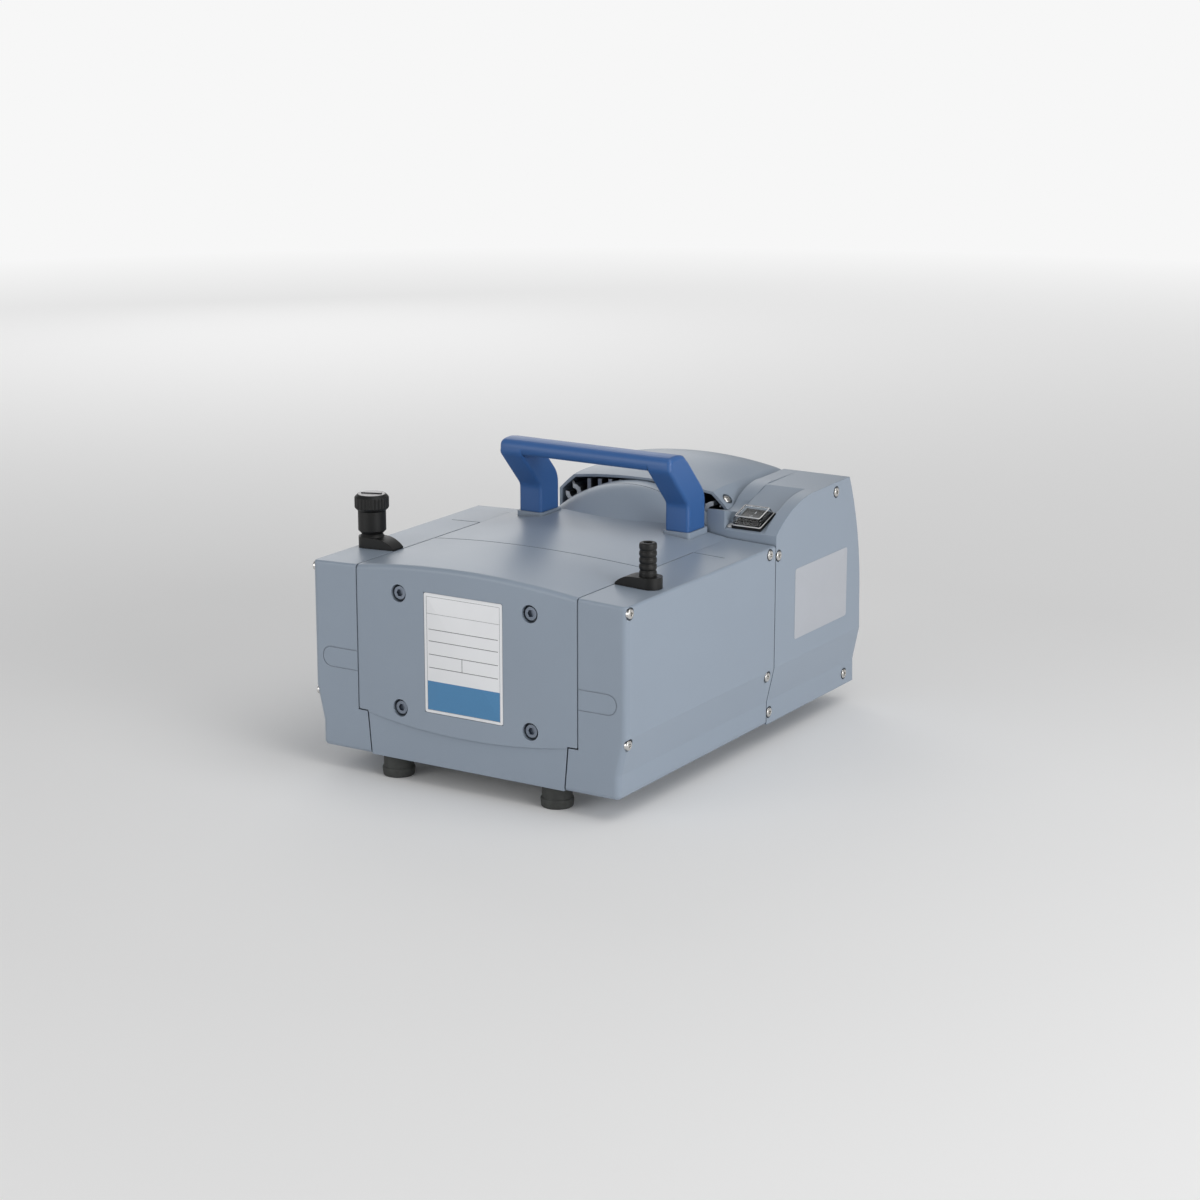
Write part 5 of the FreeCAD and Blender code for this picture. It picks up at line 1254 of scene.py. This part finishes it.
@dataclass
class SwitchDress:
    """Clear boot with pale rings painted on as highlights of its top and foot edges, a corner tab, black
    collar, and the rocker's cap with its two marks.

    Sizes are in the slope's own frame: X across, L up the slope and H square to it.
    """

    centre: Triple = (95.2, 44.8, 150.33)
    slope: float = 18.96
    tilt: float = -10.0
    pivot: float = -3.0
    bezel: float = 2.0
    half: Pair = (10.6, 10.85)
    taper: Pair = (1.0, 3.2)
    rise: float = 6.1
    wall: float = 0.8
    corner: float = 1.3
    corner_share: float = 0.4
    least_corner: float = 0.3
    boot_bends: Triple = (0.9, 0.2, 1.3)
    foot_lip: Pair = (0.25, 0.3)
    lid_reach: float = 5.0
    # Thickness of the painted highlight rings, and lift of the lower one.
    highlight_rim_thick: float = 0.3
    foot_lift: float = 0.35
    tab: Pair = (6.0, 5.0)
    tab_shape: Triple = (0.6, 1.6, 0.2)
    tab_spot: Pair = (-12.2, -8.6)
    opening: Pair = (7.8, 8.05)
    opening_corner: float = 0.6
    collar_rise: float = 2.2
    collar_gap: float = 0.25
    collar_slope: Pair = (0.2, 0.3)
    key_half: float = 6.5
    key_wide: float = 7.45
    key_foot: float = 2.4
    key_low: float = 4.5
    key_rim: float = 5.5
    key_edge: float = 0.5
    mark_high: float = 0.12
    mark_deep: float = 0.15
    bar_mark: Triple = (1.6, 4.4, 0.2)
    ring_mark: Triple = (-3.6, 0.85, 1.15)

    def on_slope(self, local: Array) -> Array:
        """Tips points with the slope and moves them to the switch, in metres."""
        return (local @ tip(self.slope) + np.array(self.centre)) * MM

    def on_rocker(self, local: Array) -> Array:
        """Tips points with the rocker about its pin, then with the slope."""
        pin = np.array([0.0, 0.0, self.pivot])
        return self.on_slope((local - pin) @ tip(self.tilt) + pin)

    def key_height(self, along: Array) -> Array:
        """Height of the rocker's hollow face: low + R - sqrt(R^2 - l^2), where R meets both rims.

        Args:
            along: places l along the rocker.

        Returns:
            The heights.
        """
        dip = self.key_rim - self.key_low
        radius = (self.key_half ** 2 + dip ** 2) / (2 * dip)
        return self.key_low + radius - np.sqrt(radius ** 2 - along ** 2)

    def boot_loops(self, line: Array) -> Array:
        """Rounded rectangles: each point (d, h) of the line says how far to draw in, and at what height.

        Args:
            line: points (d, h), n by 2.

        Returns:
            Loops, n by columns by 3.
        """
        d, h = line[:, :1], line[:, 1:]
        share = (h - self.bezel) / self.rise
        corner = np.clip(self.corner - self.corner_share * d, self.least_corner, None)
        return rounded_box(self.half[0] - self.taper[0] * share - d, self.half[1] - self.taper[1] * share - d,
                           corner, h)

    def build_boot(self) -> None:
        """Thin shell: inside from its top down to the rim, then outside and up to its top."""
        low, top, wall, reach = self.bezel, self.bezel + self.rise, self.wall, self.lid_reach
        within, foot, brow = self.boot_bends
        lip, lip_height = self.foot_lip
        inside = rounded_corners([(wall, low), (wall, top - wall), (reach, top - wall)], [within], 7)
        outside = rounded_corners([(lip, low), (0.0, low + lip_height), (0.0, top), (reach, top)],
                                  [foot, brow], 7)
        loops = self.boot_loops(np.concatenate([inside[::-1], outside]))
        dress(tube("switch_clear_boot", self.on_slope(loops)), CLEAR, "housing", "clear_boot",
              "switch_boot")
        # Painted highlight: thin pale rings round the boot's top and foot stand in for the bright edges of
        # the clear plastic.
        thick = self.highlight_rim_thick
        t = around(8)
        for name, drawn, height in (("top", thick, top - thick), ("foot", 0.0, low + self.foot_lift)):
            line = np.stack([drawn + thick * np.cos(t), height + thick * np.sin(t)], axis=1)
            rim_highlight = tube(f"switch_boot_{name}_rim", self.on_slope(self.boot_loops(line)), ring=True)
            dress(rim_highlight, MILKY_TAB_AND_RIM_HIGHLIGHT, "housing", "clear_boot")
        tab = plate_loops(*self.tab, *self.tab_shape) + np.array([*self.tab_spot, 0.0])
        dress(tube("switch_boot_tab", self.on_slope(tab)), MILKY_TAB_AND_RIM_HIGHLIGHT, "housing", "clear_boot")

    def build_collar(self) -> None:
        """Black collar round the rocker inside the boot: a closed ring of rounded rectangles."""
        low, top = self.bezel, self.bezel + self.collar_rise
        inset = self.wall + self.collar_gap
        slope, drop = self.collar_slope
        outside = self.boot_loops(np.array([[inset, low], [inset, top - drop], [inset + slope, top]]))
        inside = rounded_box(*self.opening, self.opening_corner, np.array([[top], [low]]))
        loops = self.on_slope(np.concatenate([outside, inside]))
        dress(tube("switch_collar", loops, ring=True), BLACK_PLASTIC, "housing", "black_plastic")

    def build_key(self) -> None:
        """Cap of the rocker: e (1 - cos t) inside each flank, its outline draws in by e (1 - sin t)."""
        along = np.linspace(-self.key_half, self.key_half, 25)
        top = np.stack([along, self.key_height(along)], axis=1)
        low = np.array([[self.key_half, self.key_foot], [-self.key_half, self.key_foot]])
        outline = np.concatenate([top, low])
        away = np.sign(outline - np.array([0.0, (self.key_foot + self.key_rim) / 2]))
        e = self.key_edge
        flank = [(-self.key_wide + e * cosine, e * sine) for cosine, sine in quarter(5)]
        flank += [(-x, inset) for x, inset in flank[::-1]]
        rows = [at_x(outline - away * inset, x) for x, inset in flank]
        dress(tube("rocker_cap", self.on_rocker(np.stack(rows)), Shading.CRISP), BLACK_PLASTIC,
              "power_rocker", "black_plastic")

    def build_marks(self) -> None:
        """Short bar on the rear half and ring on the front half: thin slabs that follow the hollow face."""
        start, end, half = self.bar_mark
        along = np.linspace(start, end, 9)
        side = np.array([-half, half, half, -half])
        lift = np.array([-self.mark_deep, -self.mark_deep, self.mark_high, self.mark_high])
        height = self.key_height(along)[:, None] + lift
        bar = np.stack([side + 0 * height, along[:, None] + 0 * height, height], axis=-1)
        dress(tube("rocker_bar_mark", self.on_rocker(bar)), MARK_WHITE, "power_rocker", "black_plastic")
        middle, inner, outer = self.ring_mark
        a = around(48)[:, None]
        r = np.array([inner, outer, outer, inner])
        along = middle + r * np.sin(a)
        ring = np.stack([r * np.cos(a), along, self.key_height(along) + lift], axis=-1)
        dress(tube("rocker_ring_mark", self.on_rocker(ring), ring=True), MARK_WHITE, "power_rocker",
              "black_plastic")

    def build(self) -> None:
        """Builds the boot, the collar, the rocker's cap and its marks."""
        self.build_boot()
        self.build_collar()
        self.build_key()
        self.build_marks()


@dataclass
class HoodScrews:
    """Button head screws in both front chamfers of the hood, with a hexagonal socket."""

    spot: Triple = (62.39, 66.1, 157.705)
    normal: Pair = (0.6786, 0.7345)
    seat: float = -0.5
    head_radius: float = 3.3
    head_top: float = 1.6
    rim_highlight: float = 0.1
    shank_radius: float = 1.6
    shank_foot: float = -7.4
    socket_radius: float = 1.35
    socket_depth: float = 1.2
    tip_bevel: Pair = (0.3, 0.4)
    hub: float = 0.2

    def loops(self) -> Array:
        """Profile about the screw's axis.

        The head rises by (top - rim) sin t while its radius is R cos t, down to the socket. The socket's
        radius is s cos(30) / cos(b - 30), with b the angle within one of its six sides.

        Returns:
            Loops, rows by columns by 3.
        """
        head, shank, foot, within = self.head_radius, self.shank_radius, self.shank_foot, self.socket_radius
        t = np.linspace(0, math.acos(within / head), 14)
        dome = np.stack([head * np.cos(t), self.rim_highlight + (self.head_top - self.rim_highlight) * np.sin(t)], axis=1)
        bevel, rise = self.tip_bevel
        stem = np.array([[self.hub, foot], [shank - bevel, foot], [shank, foot + rise], [shank, self.seat],
                         [head, self.seat]])
        floor = self.head_top - self.socket_depth
        socket = np.array([[within, dome[-1, 1]], [within, floor], [self.hub, floor]])
        profile = np.concatenate([stem, dome, socket])
        angle = around(CIRCLE)[None, :]
        r = np.repeat(profile[:, :1], angle.size, axis=1)
        side = np.mod(angle, math.pi / 3) - math.pi / 6
        r[-3:-1] *= math.cos(math.pi / 6) / np.cos(side)
        return swept(r, profile[:, 1:], angle)

    def build(self) -> None:
        """Builds the right-hand screw and its mirror image."""
        nx, nz = self.normal
        frame = np.array([[nz, 0.0, -nx], [0.0, 1.0, 0.0], [nx, 0.0, nz]])
        right = (self.loops() @ frame + np.array(self.spot)) * MM
        dress(tube("hood_screw_right", right), STAINLESS, "housing", "stainless_steel", "hood_screws")
        dress(tube("hood_screw_left", right * MIRROR), STAINLESS, "housing", "stainless_steel")


@dataclass
class SeamTongues:
    """Thin tongues a little below the skin in the open seams of the deck and the front panel."""

    # Each tongue takes the housing finish's painted shade in gaps, which draws the seam as a dark line.
    panel_half: float = 83.65
    gap: float = 0.9
    front: float = -160.2
    rear: float = 30.0
    deck: float = 140.5
    crown: float = 147.0
    crown_radius: float = 541.5
    step: float = 45.0
    corner: float = 4.0
    arc_radius: float = 355.1
    arc_centre_y: float = 272.2
    arc_half: float = 83.5
    deck_depth: float = 0.35
    front_depth: float = 0.55
    thick: float = 1.2

    def build_side(self, side: int) -> None:
        """Strip along the deck and down the front: a rectangle carried along a line rounded at the brow.

        Args:
            side: 1 for the right-hand seam and -1 for the left-hand one.
        """
        top, face = self.deck - self.deck_depth, self.front + self.front_depth
        line = rounded_corners([(self.rear, top), (face, top), (face, self.step)], [self.corner], 9)
        inner = line + left_normals(line) * self.thick
        x0, x1 = side * self.panel_half, side * (self.panel_half + self.gap)
        corners = [(line, x0), (line, x1), (inner, x1), (inner, x0)]
        rows = np.stack([at_x(*corner) for corner in corners], axis=1)
        name = "seam_tongue_right" if side > 0 else "seam_tongue_left"
        dress(tube(name, rows * MM, Shading.CRISP), HOUSING, "housing", "housing_paint")

    def build_arc(self) -> None:
        """Strip in the arc seam: radii R - g and R about the arc's centre, just under the crowned deck."""
        turn = np.linspace(-1, 1, 121) * math.asin(self.arc_half / self.arc_radius)
        outer, inner = self.arc_radius, self.arc_radius - self.gap
        rows = []
        for radius, drop in ((outer, 0), (inner, 0), (inner, self.thick), (outer, self.thick)):
            x = radius * np.sin(turn)
            z = self.crown - self.crown_radius + np.sqrt(self.crown_radius ** 2 - x ** 2)
            rows.append(np.stack([x, self.arc_centre_y - radius * np.cos(turn),
                                  z - self.deck_depth - drop], axis=1))
        dress(tube("seam_tongue_arc", np.stack(rows, axis=1) * MM, Shading.CRISP), HOUSING, "housing",
              "housing_paint")

    def build(self) -> None:
        """Builds the three tongues."""
        for side in (1, -1):
            self.build_side(side)
        self.build_arc()


@dataclass
class Plates:
    """Ruled plate on the front panel and bare film on the electrical box.

    Each shape is a thickness, a corner radius and a rim.
    """

    plate_floor_y: float = -161.9
    plate_size: Pair = (59.6, 79.0)
    plate_shape: Triple = (0.35, 1.6, 0.12)
    plate_centre_z: float = 90.3
    film_x: float = 119.5
    film_size: Pair = (77.0, 49.0)
    film_shape: Triple = (0.15, 2.0, 0.08)
    film_centre: Pair = (98.0, 93.0)
    film_gap: float = 0.01

    def build(self) -> None:
        """Lays both plates: the loops' Z becomes -Y on the front and +X on the side."""
        loops = plate_loops(*self.plate_size, *self.plate_shape)
        x, z, out = loops[..., 0], loops[..., 1] + self.plate_centre_z, loops[..., 2]
        piece = tube("front_ruled_plate", np.stack([x, self.plate_floor_y - out, z], axis=-1) * MM)
        dress(piece, PLATE, "housing", "housing_paint")
        loops = plate_loops(*self.film_size, *self.film_shape)
        y, z = loops[..., 0] + self.film_centre[0], loops[..., 1] + self.film_centre[1]
        x = self.film_x + loops[..., 2] + self.film_gap
        piece = tube("side_film", np.stack([x, y, z], axis=-1) * MM)
        dress(piece, STICKER, "housing", "housing_paint")


# Stage


@dataclass
class Studio:
    """Plain pale floor, soft lamps, a white surround and the camera.

    Each lamp has a name, a bearing and a height in degrees, a size and a distance in metres, and watts.
    """

    azimuth: float = 31.69
    elevation: float = 14.57
    distance: float = 1.906
    lens: float = 84.09
    shift: Pair = (0.0017, 0.0036)
    target: Triple = (0.0, 0.0, 0.090)
    floor_reach: float = 30.0
    surround: float = 0.42
    white: float = 0.95
    floor_white: float = 0.93
    floor_fade: Pair = (0.5, 2.6)
    lamps: tuple[tuple[str, float, float, float, float, float], ...] = (
        ("key_soft", 75.0, 10.0, 1.4, 1.9, 19.5),
        ("front_soft", -24.0, 9.0, 1.4, 1.9, 9.5),
        ("top_soft", 84.0, 62.0, 1.5, 1.7, 8.5),
        ("back_soft", 224.0, 22.0, 1.4, 1.9, 6.0),
    )

    def hang(self, data: bpy.types.ID, azimuth: float, elevation: float, distance: float) -> Object:
        """Puts a camera or lamp at a distance from the target, and turns it to face the target.

        Args:
            data: the camera's or the lamp's data.
            azimuth: bearing in degrees, from the front to the right.
            elevation: height in degrees.
            distance: metres from the target.

        Returns:
            The object.
        """
        piece = placed(data)
        a, e = math.radians(azimuth), math.radians(elevation)
        back = Vector((math.sin(a) * math.cos(e), -math.cos(a) * math.cos(e), math.sin(e)))
        piece.location = Vector(self.target) + back * distance
        piece.rotation_mode = "QUATERNION"
        piece.rotation_quaternion = (-back).to_track_quat("-Z", "Y")
        return piece

    def build_camera(self) -> None:
        """Sets the camera at the photograph's angle."""
        data = bpy.data.cameras.new("photo_camera")
        data.sensor_width = 36.0
        data.lens = self.lens
        data.shift_x, data.shift_y = self.shift
        bpy.context.scene.camera = self.hang(data, self.azimuth, self.elevation, self.distance)

    def build_lamps(self) -> None:
        """Hangs each soft lamp and turns it to the object."""
        for name, azimuth, elevation, size, distance, power in self.lamps:
            data = bpy.data.lights.new(name, "AREA")
            data.shape = "DISK"
            data.size = size
            data.energy = power
            self.hang(data, azimuth, elevation, distance)

    def build_surround(self) -> None:
        """White for the camera and through clear plastic, and a plain fill for the object."""
        g = Graph(bpy.data.worlds.new("studio_surround"))
        bpy.context.scene.world = g.owner
        path = g.add("LightPath").outputs
        seen = g.math("MAXIMUM", path["Is Camera Ray"], path["Is Transmission Ray"])
        background = g.add("Background", Strength=g.spread(seen, self.surround, self.white))
        g.add("OutputWorld", Surface=background.outputs[0])

    def build_floor(self) -> None:
        """Wide plain floor."""
        line = np.array([-self.floor_reach, self.floor_reach])
        x, y = np.meshgrid(line, line)
        points = np.stack([x, y, 0 * x], axis=-1).reshape(-1, 3)
        floor = to_mesh("studio_floor", points, grid_faces(2, 2, False, False), Shading.CRISP)
        floor.data.materials.append(self.floor_finish())

    def floor_finish(self) -> Material:
        """Pale matt floor, which far from the object turns into the white surround for the camera.

        Returns:
            The floor's material.
        """
        g = Graph(bpy.data.materials.new("floor_pale"))
        colour = g.blend(g.noise(0.4, 2.0), (0.86, 0.86, 0.86), (0.88, 0.88, 0.88))
        matt = g.surface(colour, 0.9, g.bump(g.noise(0.002), 0.00002), Specular_IOR_Level=0.1)
        away = g.add("VectorMath", {"operation": "LENGTH"}, n0=g.place).outputs["Value"]
        far = g.spread(away, 0.0, 1.0, *self.floor_fade)
        path = g.add("LightPath").outputs
        seen = g.math("MAXIMUM", path["Is Camera Ray"], path["Is Glossy Ray"])
        white = g.add("Emission", Strength=self.floor_white).outputs[0]
        share = g.math("MULTIPLY", far, seen)
        return g.output(g.add("MixShader", n0=share, n1=matt, n2=white).outputs[0])

    def build(self) -> None:
        """Sets the whole stage."""
        self.build_camera()
        self.build_lamps()
        self.build_surround()
        self.build_floor()
        bpy.context.scene.view_settings.view_transform = "Standard"


def dress_solids() -> None:
    """Gives each CAD node that stays its finish."""
    for finish, names in CAD_FINISHES.items():
        for name in names.split():
            paint(frame["nodes"][name], finish)
            log.info("%s: %s", name, finish.name)


def main() -> None:
    """Builds every piece in order and reports it."""
    logging.basicConfig(level=logging.INFO, format="%(name)s %(message)s")
    dress_solids()
    CarryHandle().build()
    HoseNozzle("inlet_nozzle_tail", "inlet_hose_nozzle", (104.5, -109.9, 146.94), Axis.UP).build()
    HoseNozzle("outlet_nozzle_tail", "outlet_hose_nozzle", (-106.9, 30.7, 102.6), Axis.BACK, 6.0,
               sink=9.0).build()
    BallastKnob().build()
    RubberFeet().build()
    SwitchDress().build()
    HoodScrews().build()
    SeamTongues().build()
    Plates().build()
    Studio().build()


if __name__ == "__main__":
    main()
